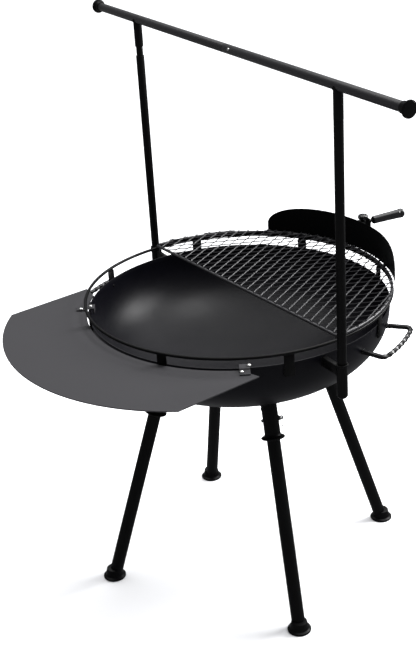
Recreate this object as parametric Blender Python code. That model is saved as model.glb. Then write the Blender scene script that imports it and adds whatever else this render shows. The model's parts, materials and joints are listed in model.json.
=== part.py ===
"""Fire pit with a swivelling half-moon grate, a side shelf and a lift-off hook frame.

Frame: metres, +Z up, floor at z = 0. The crossbar runs along X, the side shelf is on the -Y side.
The origin is on the floor under the middle of the whole object's box, so the bowl stands at BOWL_Y.
"""

import math

import bmesh
import bpy
from mathutils import Matrix, Vector

# Bowl and rail
BOWL_RADIUS = 0.381
BOWL_DEPTH = 0.205
BOWL_FULLNESS = 2.4
BOWL_SHEET = 0.0025
RIM_Z = 0.750
BOWL_SIDES = 64
RING_RADIUS = 0.386
RING_ROD = 0.004
RING_Z = 0.777
TAB_WIDTH = 0.025
TAB_SHEET = 0.003
TAB_FOOT_Z = 0.716
FIRST_TAB_DEG = -148.5
TAB_STEP_DEG = 45.0

# Legs
LEG_DEGS = {"front": -103.5, "right": -13.5, "back": 76.5, "left": 166.5}
FOOT_CIRCLE = 0.390
FLANGE_CIRCLE = 0.240
FLANGE_Z = 0.475
LEG_TUBE = 0.017
LEG_WALL = 0.002
SOCKET_BORE = 0.0175
SOCKET_TUBE = 0.020
SOCKET_FLANGE = 0.030
PIN_RADIUS = 0.004
PIN_ABOVE_FLANGE = 0.048
PULL_RING_RADIUS = 0.011
PULL_RING_WIRE = 0.0009
FOOT_RADIUS = 0.030

# Hook frame
POLE_X = 0.4525
POLE_TUBE = 0.0108
POLE_WALL = 0.0016
POLE_SOCKET_TOP_Z = 0.754
POLE_SOCKET_LENGTH = 0.086
POLE_SOCKET_TUBE = 0.0128
POLE_ARM_HALF_WIDTH = 0.006
POLE_ARM_HEIGHT = 0.024
BAR_Z = 1.390
BAR_HALF_LENGTH = 0.685
BAR_TUBE = 0.011
STUB_FOOT_Z = 1.319
LEFT_POLE_TOP_Z = 1.294
SPIGOT_TUBE = 0.0088
SPIGOT_FOOT_Z = 1.245
BUTTON_X = 0.031
BUTTON_TILT_DEG = 20.0
BUTTON_RADIUS = 0.0034
CAP_RADIUS = 0.0185

# Grate, heat shield and grip
GRATE_TURN_DEG = 5.0
FRAME_ROD = 0.004
FRAME_RADIUS = 0.385
MESH_SHORT_PITCH = 0.0279
MESH_LONG_PITCH = 0.052
MESH_STRAND = 0.0032
MESH_SHEET = 0.0022
MESH_BAND = 0.006
MESH_SHIFT = -0.00465
SHIELD_RADIUS = 0.3925
SHIELD_SHEET = 0.002
SHIELD_MID_DEG = 97.0
SHIELD_HALF_DEG = 39.5
SHIELD_FOOT_Z = 0.7857
SHIELD_END_HEIGHT = 0.0248
SHIELD_HEIGHT = 0.0778
STRAP_FOOT_Z = 0.7822
STRAP_TREAD_Z = 0.7852
STRAP_TOP_Z = 0.828
GRIP_DEG = 88.0
GRIP_Z = 0.873
GRIP_INNER = 0.410
GRIP_REACH = 0.506
KNOB_DEG = 94.0
KNOB_REACH = 0.4105
KNOB_RADIUS = 0.0135
KNOB_SEAT_Z = 0.8585
BRACKET_FOOT_Z = 0.840
EAR_TOP_Z = 0.8815
EAR_SHOULDER_Z = 0.8775

# Side shelf
SHELF_DEG = -81.5
SHELF_TOP_Z = 0.7465
SHELF_SHEET = 0.003
SHELF_HALF_WIDTH = 0.3515
SHELF_INNER = 0.3848
SHELF_INNER_HALF_DEG = 51.0
SHELF_NEAR = 0.230
SHELF_REACH = 0.616
SHELF_ARC_RADIUS = 0.4715
SHELF_HOOK_DEGS = {"left": -120.0, "right": -29.0}
SHELF_BOLTS = {"shelf_bolt_1": (0.4005, -30.0), "shelf_bolt_2": (0.4005, -119.0)}

# Carry handles
HANDLE_DEGS = {"right": 31.5, "left": -148.5}
HANDLE_ROD = 0.0052
HANDLE_HALF_DEG = 11.75
HANDLE_REACH = 0.440
HANDLE_Z = 0.708

GAP = 0.0003
SHELF_FRONT_Y = (SHELF_REACH - SHELF_ARC_RADIUS) * math.sin(math.radians(SHELF_DEG)) - SHELF_ARC_RADIUS
BOWL_Y = -(SHELF_FRONT_Y + GRIP_REACH) / 2.0


def bowl_radius_at(z):
    """Outer radius of the dished bowl at height z."""
    depth = (RIM_Z - z) / BOWL_DEPTH
    return BOWL_RADIUS * (1.0 - depth ** BOWL_FULLNESS) ** (1.0 / BOWL_FULLNESS)


def polar(radius, degrees, z=0.0):
    """Point at a radius and a direction round the bowl's axis."""
    angle = math.radians(degrees)
    return Vector((radius * math.cos(angle), radius * math.sin(angle), z))


def finish_mesh(name, bm, material, smooth=True):
    """Close a bmesh into an object whose faces point outwards."""
    bmesh.ops.remove_doubles(bm, verts=bm.verts, dist=1e-6)
    bmesh.ops.recalc_face_normals(bm, faces=bm.faces)
    mesh = bpy.data.meshes.new(name)
    bm.to_mesh(mesh)
    bm.free()
    if smooth:
        mesh.shade_smooth()
        mesh.set_sharp_from_angle(angle=math.radians(35.0))
    return add_object(name, mesh, material)


def add_object(name, data, material):
    """Put a mesh or a curve in the scene."""
    thing = bpy.data.objects.new(name, data)
    bpy.context.scene.collection.objects.link(thing)
    if material is not None:
        data.materials.append(material)
    return thing


def turned(name, profile, sides, material, start_deg=0.0):
    """Solid of revolution about Z from a closed (radius, height) outline."""
    bm = bmesh.new()
    turn = Matrix.Rotation(math.radians(start_deg), 3, "Z")
    corners = [bm.verts.new(turn @ Vector((radius, 0.0, z))) for radius, z in profile]
    edges = [bm.edges.new((corners[i - 1], corners[i])) for i in range(len(corners))]
    bmesh.ops.spin(
        bm, geom=corners + edges, cent=(0, 0, 0), axis=(0, 0, 1), angle=math.tau, steps=sides, use_merge=True
    )
    bmesh.ops.dissolve_degenerate(bm, dist=1e-7, edges=bm.edges)
    return finish_mesh(name, bm, material)


def tube(name, outer, inner, low, high, sides, material):
    """Open tube along Z."""
    profile = [(inner, low), (outer, low), (outer, high), (inner, high)]
    return turned(name, profile, sides, material)


def drill_bit(name, radius, low, high, sides):
    """Plain cylinder along Z that cuts a hole."""
    return turned(name, [(0.0, low), (radius, low), (radius, high), (0.0, high)], sides, None)


def plate(name, outline, low, high, material, smooth=False):
    """Flat plate: an outline in XY extruded from low to high."""
    bm = bmesh.new()
    face = bm.faces.new([bm.verts.new((x, y, low)) for x, y in outline])
    raised = bmesh.ops.extrude_face_region(bm, geom=[face])["geom"]
    top = [item for item in raised if isinstance(item, bmesh.types.BMVert)]
    bmesh.ops.translate(bm, verts=top, vec=(0.0, 0.0, high - low))
    return finish_mesh(name, bm, material, smooth)


def bent_rod(name, points, radius, material, closed=False):
    """Round wire or rod along a path of points."""
    curve = bpy.data.curves.new(name, "CURVE")
    curve.dimensions = "3D"
    curve.bevel_depth = radius
    curve.bevel_resolution = 2
    curve.use_fill_caps = True
    spline = curve.splines.new("POLY")
    spline.points.add(len(points) - 1)
    for spot, point in zip(spline.points, points):
        spot.co = (point[0], point[1], point[2], 1.0)
    spline.use_cyclic_u = closed
    return add_object(name, curve, material)


def curved_sheet(name, inner, outer, low, heights, degrees, material):
    """Upright sheet on a round wall: one height for each direction in degrees."""
    bm = bmesh.new()
    columns = []
    for angle, height in zip(degrees, heights):
        spots = [(inner, low), (outer, low), (outer, low + height), (inner, low + height)]
        columns.append([bm.verts.new(polar(radius, angle, z)) for radius, z in spots])
    for near, far in zip(columns, columns[1:]):
        for i in range(4):
            bm.faces.new((near[i - 1], near[i], far[i], far[i - 1]))
    bm.faces.new(columns[0])
    bm.faces.new(reversed(columns[-1]))
    return finish_mesh(name, bm, material)


def join_on(target, addition):
    """Weld a helper solid onto a piece and hide the helper."""
    apply_boolean(target, addition, "UNION")


def cut_from(target, cutter):
    """Cut a helper solid out of a piece and hide the helper."""
    apply_boolean(target, cutter, "DIFFERENCE")


def apply_boolean(target, helper, operation):
    modifier = target.modifiers.new(helper.name, "BOOLEAN")
    modifier.operation = operation
    modifier.object = helper
    helper.hide_render = True
    helper.display_type = "WIRE"


def empty(name, matrix, parent=None):
    """Empty that carries the pieces of one assembly."""
    frame = bpy.data.objects.new(name, None)
    bpy.context.scene.collection.objects.link(frame)
    frame.parent = parent
    frame.matrix_local = matrix
    return frame


def carry(frame, *pieces):
    """Parent pieces to a frame, keeping their places inside it."""
    for piece in pieces:
        piece.parent = frame


def paint(name, colour, roughness, metallic):
    """Principled material of one finish."""
    material = bpy.data.materials.new(name)
    material.use_nodes = True
    shader = material.node_tree.nodes["Principled BSDF"]
    shader.inputs["Base Color"].default_value = (*colour, 1.0)
    shader.inputs["Roughness"].default_value = roughness
    shader.inputs["Metallic"].default_value = metallic
    return material


def satin_black():
    return paint("satin_black_coat", (0.018, 0.018, 0.019), 0.45, 0.0)


def bowl_black():
    return paint("bowl_black_coat", (0.020, 0.021, 0.024), 0.50, 0.0)


def charcoal_coat():
    return paint("charcoal_coat", (0.070, 0.070, 0.074), 0.55, 0.0)


def wire_grey():
    return paint("wire_grey_coat", (0.060, 0.060, 0.062), 0.45, 0.2)


def gloss_black():
    return paint("gloss_black_plastic", (0.010, 0.010, 0.010), 0.18, 0.0)


def zinc():
    return paint("bright_zinc", (0.62, 0.62, 0.60), 0.30, 1.0)


def bowl_outline(grow=0.0, steps=7):
    """(radius, height) points of the dished outline, from the middle out to the rim."""
    points = [(0.0, RIM_Z - BOWL_DEPTH - grow)]
    for i in range(1, steps + 1):
        angle = math.radians(90.0 * i / steps)
        radius = (BOWL_RADIUS + grow) * math.sin(angle) ** (2.0 / BOWL_FULLNESS)
        depth = (BOWL_DEPTH + grow) * max(math.cos(angle), 0.0) ** (2.0 / BOWL_FULLNESS)
        points.append((radius, RIM_Z - depth))
    return points


def make_bowl(site, coat):
    """Dished bowl of sheet steel, with a cutter of its outer shape for what is welded under it."""
    start = FIRST_TAB_DEG + 180.0 / BOWL_SIDES
    profile = bowl_outline() + list(reversed(bowl_outline(-BOWL_SHEET)))
    carry(site, turned("fire_bowl", profile, BOWL_SIDES, coat, start))
    clearance = bowl_outline(GAP) + [(BOWL_RADIUS + GAP, RIM_Z + 0.02), (0.0, RIM_Z + 0.02)]
    cutter = turned("bowl_clearance", clearance, BOWL_SIDES, None, start)
    carry(site, cutter)
    return cutter


def make_rail(site, coat):
    """Rod ring above the rim on eight upright tabs."""
    ring_points = [polar(RING_RADIUS, 360.0 * i / BOWL_SIDES, RING_Z) for i in range(BOWL_SIDES)]
    carry(site, bent_rod("rail_ring", ring_points, RING_ROD, coat, closed=True))
    inner = BOWL_RADIUS * math.cos(math.pi / BOWL_SIDES) + GAP
    top = RING_Z - RING_ROD - GAP
    for number in range(8):
        outline = [(inner, -TAB_WIDTH / 2), (inner + TAB_SHEET, -TAB_WIDTH / 2)]
        outline += [(x, -y) for x, y in reversed(outline)]
        tab = plate("rail_tab_%d" % (number + 1), outline, TAB_FOOT_Z, top, coat)
        tab.rotation_euler.z = math.radians(FIRST_TAB_DEG + number * TAB_STEP_DEG)
        carry(site, tab)


def leg_matrix(degrees):
    """Frame on the floor under a leg, +Z up along the leg and +Y along its cross pin."""
    up = Vector((FLANGE_CIRCLE - FOOT_CIRCLE, 0.0, FLANGE_Z)).normalized()
    across = Vector((0.0, 1.0, 0.0))
    lean = Matrix((across.cross(up), across, up)).transposed().to_4x4()
    turn = Matrix.Rotation(math.radians(degrees), 4, "Z")
    return turn @ Matrix.Translation((FOOT_CIRCLE, 0.0, 0.0)) @ lean


def make_leg(site, place, bowl_cutter, coat, pin_metal):
    """One leg: socket under the bowl, tube, foot cap and the cross pin with its pull ring."""
    frame = empty("leg_frame_%s" % place, leg_matrix(LEG_DEGS[place]), site)
    flange_at = math.hypot(FOOT_CIRCLE - FLANGE_CIRCLE, FLANGE_Z)
    reach = flange_at + 0.110
    pin_at = flange_at + PIN_ABOVE_FLANGE

    profile = [
        (SOCKET_BORE, flange_at), (SOCKET_FLANGE, flange_at), (SOCKET_FLANGE, flange_at + 0.003),
        (SOCKET_TUBE + 0.003, flange_at + 0.008), (SOCKET_TUBE, flange_at + 0.012),
        (SOCKET_TUBE, reach), (SOCKET_BORE, reach),
    ]
    socket = turned("leg_socket_%s" % place, profile, 20, coat)
    cut_from(socket, bowl_cutter)

    leg = tube("leg_tube_%s" % place, LEG_TUBE, LEG_TUBE - LEG_WALL, 0.0125, flange_at + 0.075, 20, coat)
    drill = drill_bit("pin_drill_%s" % place, PIN_RADIUS + 0.0004, -0.03, 0.03, 12)
    drill.rotation_euler.x = math.radians(90.0)
    drill.location.z = pin_at
    cut_from(socket, drill)
    cut_from(leg, drill)

    foot_site = empty("foot_site_%s" % place, Matrix.Translation(polar(FOOT_CIRCLE, LEG_DEGS[place])), site)
    dome = [
        (0.0, 0.0), (FOOT_RADIUS - 0.001, 0.0), (FOOT_RADIUS, 0.001), (FOOT_RADIUS, 0.005),
        (0.0235, 0.008), (0.0215, 0.020), (0.0195, 0.027), (0.0, 0.027),
    ]
    foot = turned("foot_cap_%s" % place, dome, 24, coat)
    carry(foot_site, foot)
    bore = drill_bit("foot_bore_%s" % place, LEG_TUBE + GAP, 0.0122, 0.06, 20)
    cut_from(foot, bore)
    carry(frame, socket, leg, drill, bore)
    make_pin(frame, place, pin_at, pin_metal)


def make_pin(frame, place, pin_at, metal):
    """Cross pin with a flat drilled head, and the pull ring that hangs in it."""
    joint = empty("pin_axis_%s" % place, Matrix.Translation((0.0, 0.0, pin_at)), frame)
    tail = SOCKET_TUBE + 0.004
    head = SOCKET_TUBE + 0.0006
    pin = turned(
        "leg_pin_%s" % place,
        [(0.0, -tail), (PIN_RADIUS - 0.001, -tail), (PIN_RADIUS, -tail + 0.0015), (PIN_RADIUS, head),
         (0.0065, head), (0.0065, head + 0.002), (0.0, head + 0.002)],
        12, metal,
    )
    pin.rotation_euler.x = math.radians(-90.0)
    eye_at = head + 0.0075
    half = 0.0055
    lug = plate(
        "pin_lug_%s" % place,
        [(-0.0015, -half), (0.0015, -half), (0.0015, half), (-0.0015, half)],
        head + 0.001, head + 0.0125, metal,
    )
    lug.rotation_euler.x = math.radians(-90.0)
    eye = drill_bit("pin_eye_%s" % place, 0.0022, -0.01, 0.01, 10)
    eye.rotation_euler.y = math.radians(90.0)
    eye.location.y = eye_at
    join_on(pin, lug)
    cut_from(pin, eye)
    centre = Vector((0.0, eye_at, -PULL_RING_RADIUS))
    points = []
    for i in range(16):
        angle = math.tau * i / 16
        spot = Vector((math.sin(angle), 0.0, math.cos(angle))) * PULL_RING_RADIUS
        points.append(centre + spot)
    ring = bent_rod("pull_ring_%s" % place, points, PULL_RING_WIRE, metal, closed=True)
    ring.data.bevel_resolution = 1
    carry(joint, pin, lug, eye, ring)


def make_carry_handle(site, place, coat):
    """Bent rod handle welded to the bowl's wall."""
    foot = bowl_radius_at(HANDLE_Z) + 0.0012
    bend = 0.016
    bend_deg = math.degrees(bend / HANDLE_REACH)
    points = []
    middle = HANDLE_DEGS[place]
    for side in (-1, 1):
        arm = [polar(foot, middle + side * HANDLE_HALF_DEG, HANDLE_Z)]
        for i in range(5):
            angle = math.radians(22.5 * i)
            radius = HANDLE_REACH - bend * (1.0 - math.sin(angle))
            turn = HANDLE_HALF_DEG - bend_deg * (1.0 - math.cos(angle))
            arm.append(polar(radius, middle + side * turn, HANDLE_Z))
        points.append(arm)
    arc_end = HANDLE_HALF_DEG - bend_deg
    arc = [polar(HANDLE_REACH, middle - arc_end + 2 * arc_end * i / 8, HANDLE_Z) for i in range(1, 8)]
    path = points[0] + arc + list(reversed(points[1]))
    carry(site, bent_rod("carry_handle_%s" % place, path, HANDLE_ROD, coat))


def make_pole_socket(site, place, side, bowl_cutter, coat):
    """Blind socket tube for a pole, on a short arm welded to the bowl."""
    top = POLE_SOCKET_TOP_Z
    foot = top - POLE_SOCKET_LENGTH
    bore = POLE_TUBE + 0.0005
    lip = POLE_SOCKET_TUBE + 0.0017
    floor_z = foot + 0.006
    socket = turned(
        "pole_socket_%s" % place,
        [(0.0, foot), (0.009, foot), (POLE_SOCKET_TUBE, foot + 0.005), (POLE_SOCKET_TUBE, top - 0.006),
         (lip, top - 0.006), (lip, top), (bore, top), (bore, floor_z), (0.0, floor_z)],
        20, coat,
    )
    socket.location.x = side * POLE_X
    arm_top = top - 0.010
    near = side * (BOWL_RADIUS - 0.010)
    far = side * (POLE_X - POLE_SOCKET_TUBE + 0.001)
    half = POLE_ARM_HALF_WIDTH
    outline = [(near, -half), (far, -half), (far, half), (near, half)]
    arm = plate("socket_arm_%s" % place, outline, arm_top - POLE_ARM_HEIGHT, arm_top, coat)
    cut_from(arm, bowl_cutter)
    join_on(socket, arm)
    carry(site, socket, arm)


def make_hook_frame(site, coat, bar_coat, metal):
    """Two poles, and the crossbar that sits on them with spigots."""
    pole_foot = POLE_SOCKET_TOP_Z - POLE_SOCKET_LENGTH + 0.006 + GAP
    clearance = drill_bit("bar_clearance", BAR_TUBE + GAP, -POLE_X - 0.03, POLE_X + 0.03, 20)
    clearance.rotation_euler.y = math.radians(90.0)
    clearance.location.z = BAR_Z
    carry(site, clearance)
    for place, side in (("left", -1), ("right", 1)):
        top = LEFT_POLE_TOP_Z if side < 0 else STUB_FOOT_Z - GAP
        pole = tube("pole_%s" % place, POLE_TUBE, POLE_TUBE - POLE_WALL, pole_foot, top, 20, coat)
        spigot = tube(
            "pole_spigot_%s" % place, SPIGOT_TUBE, SPIGOT_TUBE - POLE_WALL, SPIGOT_FOOT_Z, BAR_Z - 0.016, 16, metal
        )
        stub = tube("bar_stub_%s" % place, BAR_TUBE, SPIGOT_TUBE + GAP, STUB_FOOT_Z, BAR_Z - 0.006, 20, bar_coat)
        cut_from(stub, clearance)
        for piece in (pole, spigot, stub):
            piece.location.x = side * POLE_X
        carry(site, pole, spigot, stub)
    make_crossbar(site, bar_coat, metal)


def make_crossbar(site, bar_coat, metal):
    """Two bar halves on an inner coupler, with a snap button and flanged end caps."""
    along = empty("crossbar_axis", Matrix.Translation((0, 0, BAR_Z)) @ Matrix.Rotation(math.radians(90), 4, "Y"), site)
    bore = BAR_TUBE - 0.0018
    left = tube("bar_half_left", BAR_TUBE, bore, -BAR_HALF_LENGTH, -GAP, 20, bar_coat)
    right = tube("bar_half_right", BAR_TUBE, bore, GAP, BAR_HALF_LENGTH, 20, bar_coat)
    coupler = tube("bar_coupler", bore - GAP, bore - 0.002, -0.065, 0.065, 16, metal)
    cap_profile = [
        (0.0, BAR_HALF_LENGTH + GAP), (BAR_TUBE + GAP, BAR_HALF_LENGTH + GAP),
        (BAR_TUBE + GAP, BAR_HALF_LENGTH - 0.018), (BAR_TUBE + 0.0018, BAR_HALF_LENGTH - 0.018),
        (BAR_TUBE + 0.0026, BAR_HALF_LENGTH - 0.002), (CAP_RADIUS, BAR_HALF_LENGTH - 0.0006),
        (CAP_RADIUS, BAR_HALF_LENGTH + 0.0025), (0.0, BAR_HALF_LENGTH + 0.0035),
    ]
    for place, turn in (("right", 0.0), ("left", 180.0)):
        cap = turned("end_cap_%s" % place, cap_profile, 24, bar_coat)
        cap.rotation_euler.x = math.radians(turn)
        carry(along, cap)
    tilt = math.radians(BUTTON_TILT_DEG)
    outwards = Vector((0.0, -math.cos(tilt), math.sin(tilt)))
    turn = Vector((0.0, 0.0, 1.0)).rotation_difference(outwards).to_matrix().to_4x4()
    seat = empty("button_axis", Matrix.Translation((BUTTON_X, 0.0, BAR_Z)) @ turn, site)
    button = turned(
        "snap_button",
        [(0.0, 0.0035), (BUTTON_RADIUS, 0.0035), (BUTTON_RADIUS, BAR_TUBE + 0.0012),
         (BUTTON_RADIUS * 0.7, BAR_TUBE + 0.0024), (0.0, BAR_TUBE + 0.0028)],
        14, metal,
    )
    drill = drill_bit("button_drill", BUTTON_RADIUS + 0.0004, 0.004, 0.014, 14)
    cut_from(right, drill)
    cut_from(coupler, drill)
    carry(seat, button, drill)
    carry(along, left, right, coupler)


def clip_to_d(outline, radius, straight):
    """Part of a convex outline that lies inside a half disc."""
    edges = [((0.0, straight), (0.0, 1.0))]
    for i in range(48):
        angle = math.pi * (i + 0.5) / 48
        normal = (-math.cos(angle), -math.sin(angle))
        edges.append(((-normal[0] * radius, -normal[1] * radius), normal))
    for (px, py), (nx, ny) in edges:
        kept = []
        for i, (x, y) in enumerate(outline):
            ox, oy = outline[i - 1]
            inside = (x - px) * nx + (y - py) * ny
            before = (ox - px) * nx + (oy - py) * ny
            if (inside >= 0.0) != (before >= 0.0):
                share = before / (before - inside)
                kept.append((ox + (x - ox) * share, oy + (y - oy) * share))
            if inside >= 0.0:
                kept.append((x, y))
        outline = kept
        if len(outline) < 3:
            return []
    return outline


def half_disc(radius, straight, steps):
    """Outline of a half disc whose straight edge lies at y = straight."""
    start = math.asin(straight / radius)
    span = math.pi - 2.0 * start
    return [
        (radius * math.cos(start + span * i / steps), radius * math.sin(start + span * i / steps))
        for i in range(steps + 1)
    ]


def outline_area(outline):
    pairs = zip(outline, outline[1:] + outline[:1])
    return abs(sum(x0 * y1 - x1 * y0 for (x0, y0), (x1, y1) in pairs)) / 2.0


def make_mesh_cutter(low, high):
    """Diamond openings of the expanded metal, clipped to the inside of its border band."""
    bm = bmesh.new()
    half_short = MESH_SHORT_PITCH / 2.0
    half_long = MESH_LONG_PITCH / 2.0
    shrink = 1.0 - MESH_STRAND / 2.0 * math.hypot(half_short, half_long) / (half_short * half_long)
    columns = int(FRAME_RADIUS / half_short) + 2
    rows = int(FRAME_RADIUS / half_long) + 2
    for column in range(-columns, columns + 1):
        for row in range(-1, rows + 1):
            if (column + row) % 2:
                continue
            cx = column * half_short + MESH_SHIFT
            cy = row * half_long
            diamond = [
                (cx + half_short * shrink, cy), (cx, cy + half_long * shrink),
                (cx - half_short * shrink, cy), (cx, cy - half_long * shrink),
            ]
            opening = clip_to_d(diamond, FRAME_RADIUS - MESH_BAND, MESH_BAND)
            if len(opening) < 3 or outline_area(opening) < 2.5e-5:
                continue
            face = bm.faces.new([bm.verts.new((x, y, low)) for x, y in opening])
            raised = bmesh.ops.extrude_face_region(bm, geom=[face])["geom"]
            top = [item for item in raised if isinstance(item, bmesh.types.BMVert)]
            bmesh.ops.translate(bm, verts=top, vec=(0.0, 0.0, high - low))
    bmesh.ops.recalc_face_normals(bm, faces=bm.faces)
    mesh = bpy.data.meshes.new("mesh_openings")
    bm.to_mesh(mesh)
    bm.free()
    return add_object("mesh_openings", mesh, None)


def make_grate(site, coat, wire_coat):
    """Half-moon rod frame that turns on the ring, with expanded metal on top."""
    pivot = empty("grate_axis", Matrix.Rotation(math.radians(GRATE_TURN_DEG), 4, "Z"), site)
    frame_z = RING_Z + RING_ROD + FRAME_ROD + 0.0004
    corner = 4.0
    path = [polar(FRAME_RADIUS, corner + (180.0 - 2 * corner) * i / 30, frame_z) for i in range(31)]
    straight = FRAME_ROD
    inset = 0.012
    path += [Vector((-FRAME_RADIUS + 0.004, straight + 0.006, frame_z))]
    path += [Vector((-FRAME_RADIUS + inset, straight, frame_z)), Vector((FRAME_RADIUS - inset, straight, frame_z))]
    path += [Vector((FRAME_RADIUS - 0.004, straight + 0.006, frame_z))]
    frame = bent_rod("grate_frame_rod", path, FRAME_ROD, wire_coat, closed=True)
    frame.name = "grate_frame"
    mesh_low = frame_z + FRAME_ROD + GAP
    outline = half_disc(FRAME_RADIUS + 0.002, 0.0005, 48)
    mesh = plate("grate_mesh", outline, mesh_low, mesh_low + MESH_SHEET, wire_coat)
    cutter = make_mesh_cutter(mesh_low - 0.002, mesh_low + MESH_SHEET + 0.002)
    cut_from(mesh, cutter)
    carry(pivot, frame, mesh, cutter)


def shield_height(share):
    """Height of the arched shield, share running from 0 at the middle to 1 at an end."""
    arch = (1.0 - share ** 4.0) ** 0.5
    return SHIELD_END_HEIGHT + (SHIELD_HEIGHT - SHIELD_END_HEIGHT) * arch


def make_shield(site, coat):
    """Curved heat shield, and the two straps that hold it on the grate's rod."""
    steps = 32
    shares = [math.sin(math.radians(-90.0 + 180.0 * i / steps)) for i in range(steps + 1)]
    degrees = [SHIELD_MID_DEG + SHIELD_HALF_DEG * share for share in shares]
    heights = [shield_height(abs(share)) for share in shares]
    outer = SHIELD_RADIUS + SHIELD_SHEET
    carry(site, curved_sheet("heat_shield", SHIELD_RADIUS, outer, SHIELD_FOOT_Z, heights, degrees, coat))
    rod_outer = FRAME_RADIUS + FRAME_ROD + GAP
    strap_inner = outer + GAP
    strap_outer = strap_inner + 0.003
    for place, offset in (("left", 23.0), ("right", -23.0)):
        side = [
            (rod_outer, STRAP_FOOT_Z), (strap_outer, STRAP_FOOT_Z), (strap_outer, STRAP_TOP_Z),
            (strap_inner, STRAP_TOP_Z), (strap_inner, STRAP_TREAD_Z), (rod_outer, STRAP_TREAD_Z),
        ]
        strap = plate("shield_strap_%s" % place, side, -0.007, 0.007, coat)
        turn = Matrix.Rotation(math.radians(SHIELD_MID_DEG + offset), 4, "Z")
        strap.matrix_local = turn @ Matrix.Rotation(math.radians(90.0), 4, "X")
        carry(site, strap)
    return strap_inner


def make_grip(site, plate_inner, coat, plastic):
    """Bracket on the back of the shield, the grip on its stem, and a clamp knob beside it."""
    plate_outer = plate_inner + 0.003
    degrees = [86.6, 87.2, 88.8, 89.4, 89.8, 92.0, 94.0, 96.0]
    ear = [EAR_SHOULDER_Z, EAR_TOP_Z, EAR_TOP_Z, EAR_SHOULDER_Z]
    tops = ear + [KNOB_SEAT_Z] * (len(degrees) - len(ear))
    heights = [top - BRACKET_FOOT_Z for top in tops]
    bracket = curved_sheet(
        "grip_bracket", plate_inner, plate_outer, BRACKET_FOOT_Z, heights, degrees, coat
    )
    seat_near = plate_inner + 0.0008
    seat_far = KNOB_REACH + KNOB_RADIUS
    half = KNOB_RADIUS
    seat = plate(
        "knob_seat",
        [(seat_near, -half), (seat_far, -half), (seat_far, half), (seat_near, half)],
        KNOB_SEAT_Z - 0.003, KNOB_SEAT_Z, coat,
    )
    seat.rotation_euler.z = math.radians(KNOB_DEG)
    join_on(bracket, seat)
    stem_frame = Matrix.Rotation(math.radians(GRIP_DEG), 4, "Z") @ Matrix.Translation((0, 0, GRIP_Z))
    along = empty("grip_axis", stem_frame @ Matrix.Rotation(math.radians(90.0), 4, "Y"), site)
    stem_foot = plate_outer + 0.0006
    stem = turned(
        "grip_stem",
        [(0.0, stem_foot), (0.0065, stem_foot), (0.0065, stem_foot + 0.003), (0.0035, stem_foot + 0.004),
         (0.0035, GRIP_REACH - 0.018), (0.0, GRIP_REACH - 0.018)],
        12, coat,
    )
    bore = 0.0035 + GAP
    grip = turned(
        "grate_grip",
        [(bore, GRIP_INNER), (0.0095, GRIP_INNER), (0.0105, GRIP_INNER + 0.002), (0.0115, GRIP_REACH - 0.03),
         (0.0125, GRIP_REACH - 0.006), (0.011, GRIP_REACH - 0.0012), (0.006, GRIP_REACH), (0.0, GRIP_REACH),
         (0.0, GRIP_REACH - 0.0175), (bore, GRIP_REACH - 0.0175)],
        20, plastic,
    )
    carry(along, stem, grip)
    knob_axis = empty("knob_axis", Matrix.Translation(polar(KNOB_REACH, KNOB_DEG)), site)
    low = KNOB_SEAT_Z + GAP
    knob = turned(
        "clamp_knob",
        [(0.0, low), (0.006, low), (0.006, low + 0.005), (KNOB_RADIUS - 0.0015, low + 0.006),
         (KNOB_RADIUS, low + 0.0075), (KNOB_RADIUS, low + 0.0145), (KNOB_RADIUS - 0.002, low + 0.0165),
         (0.0, low + 0.017)],
        18, plastic,
    )
    carry(knob_axis, knob)
    carry(site, bracket, seat)


def shelf_outline():
    """Side shelf seen from above, with its long direction along +X."""
    arc_centre = SHELF_REACH - SHELF_ARC_RADIUS
    arc_half = math.asin(SHELF_HALF_WIDTH / SHELF_ARC_RADIUS)
    outer = [
        (arc_centre + SHELF_ARC_RADIUS * math.cos(angle), SHELF_ARC_RADIUS * math.sin(angle))
        for angle in (arc_half * i / 20 for i in range(-20, 21))
    ]
    inner_half = math.radians(SHELF_INNER_HALF_DEG)
    inner = [
        (SHELF_INNER * math.cos(angle), SHELF_INNER * math.sin(angle))
        for angle in (inner_half * i / 20 for i in range(20, -21, -1))
    ]
    near = [(SHELF_NEAR, SHELF_HALF_WIDTH)]
    far = [(SHELF_NEAR, -SHELF_HALF_WIDTH)]
    return outer + near + inner + far


def make_shelf(site, coat, metal):
    """Flat side shelf with two hooks over the rim and a bolt through each hook's foot."""
    shelf = plate("side_shelf", shelf_outline(), SHELF_TOP_Z - SHELF_SHEET, SHELF_TOP_Z, coat)
    shelf.rotation_euler.z = math.radians(SHELF_DEG)
    carry(site, shelf)
    base = SHELF_TOP_Z + GAP
    over = RIM_Z + GAP
    sheet = 0.003
    lip_foot_z = 0.738
    for place, degrees in SHELF_HOOK_DEGS.items():
        side = [
            (0.412, base), (0.412, base + sheet), (0.3915, base + sheet), (0.3885, over + sheet),
            (0.3665, over + sheet), (0.3665, lip_foot_z), (0.3695, lip_foot_z), (0.3695, over),
            (0.3868, over), (0.3898, base),
        ]
        hook = plate("shelf_hook_%s" % place, side, -0.0125, 0.0125, coat)
        turn = Matrix.Rotation(math.radians(degrees), 4, "Z")
        hook.matrix_local = turn @ Matrix.Rotation(math.radians(90.0), 4, "X")
        carry(site, hook)
    for name, (radius, degrees) in SHELF_BOLTS.items():
        bolt = turned(
            name,
            [(0.0, 0.0), (0.0048, 0.0), (0.0048, 0.0022), (0.0034, 0.0040), (0.0, 0.0046)],
            12, metal,
        )
        bolt.location = polar(radius, degrees, base + sheet + GAP)
        carry(site, bolt)


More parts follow.
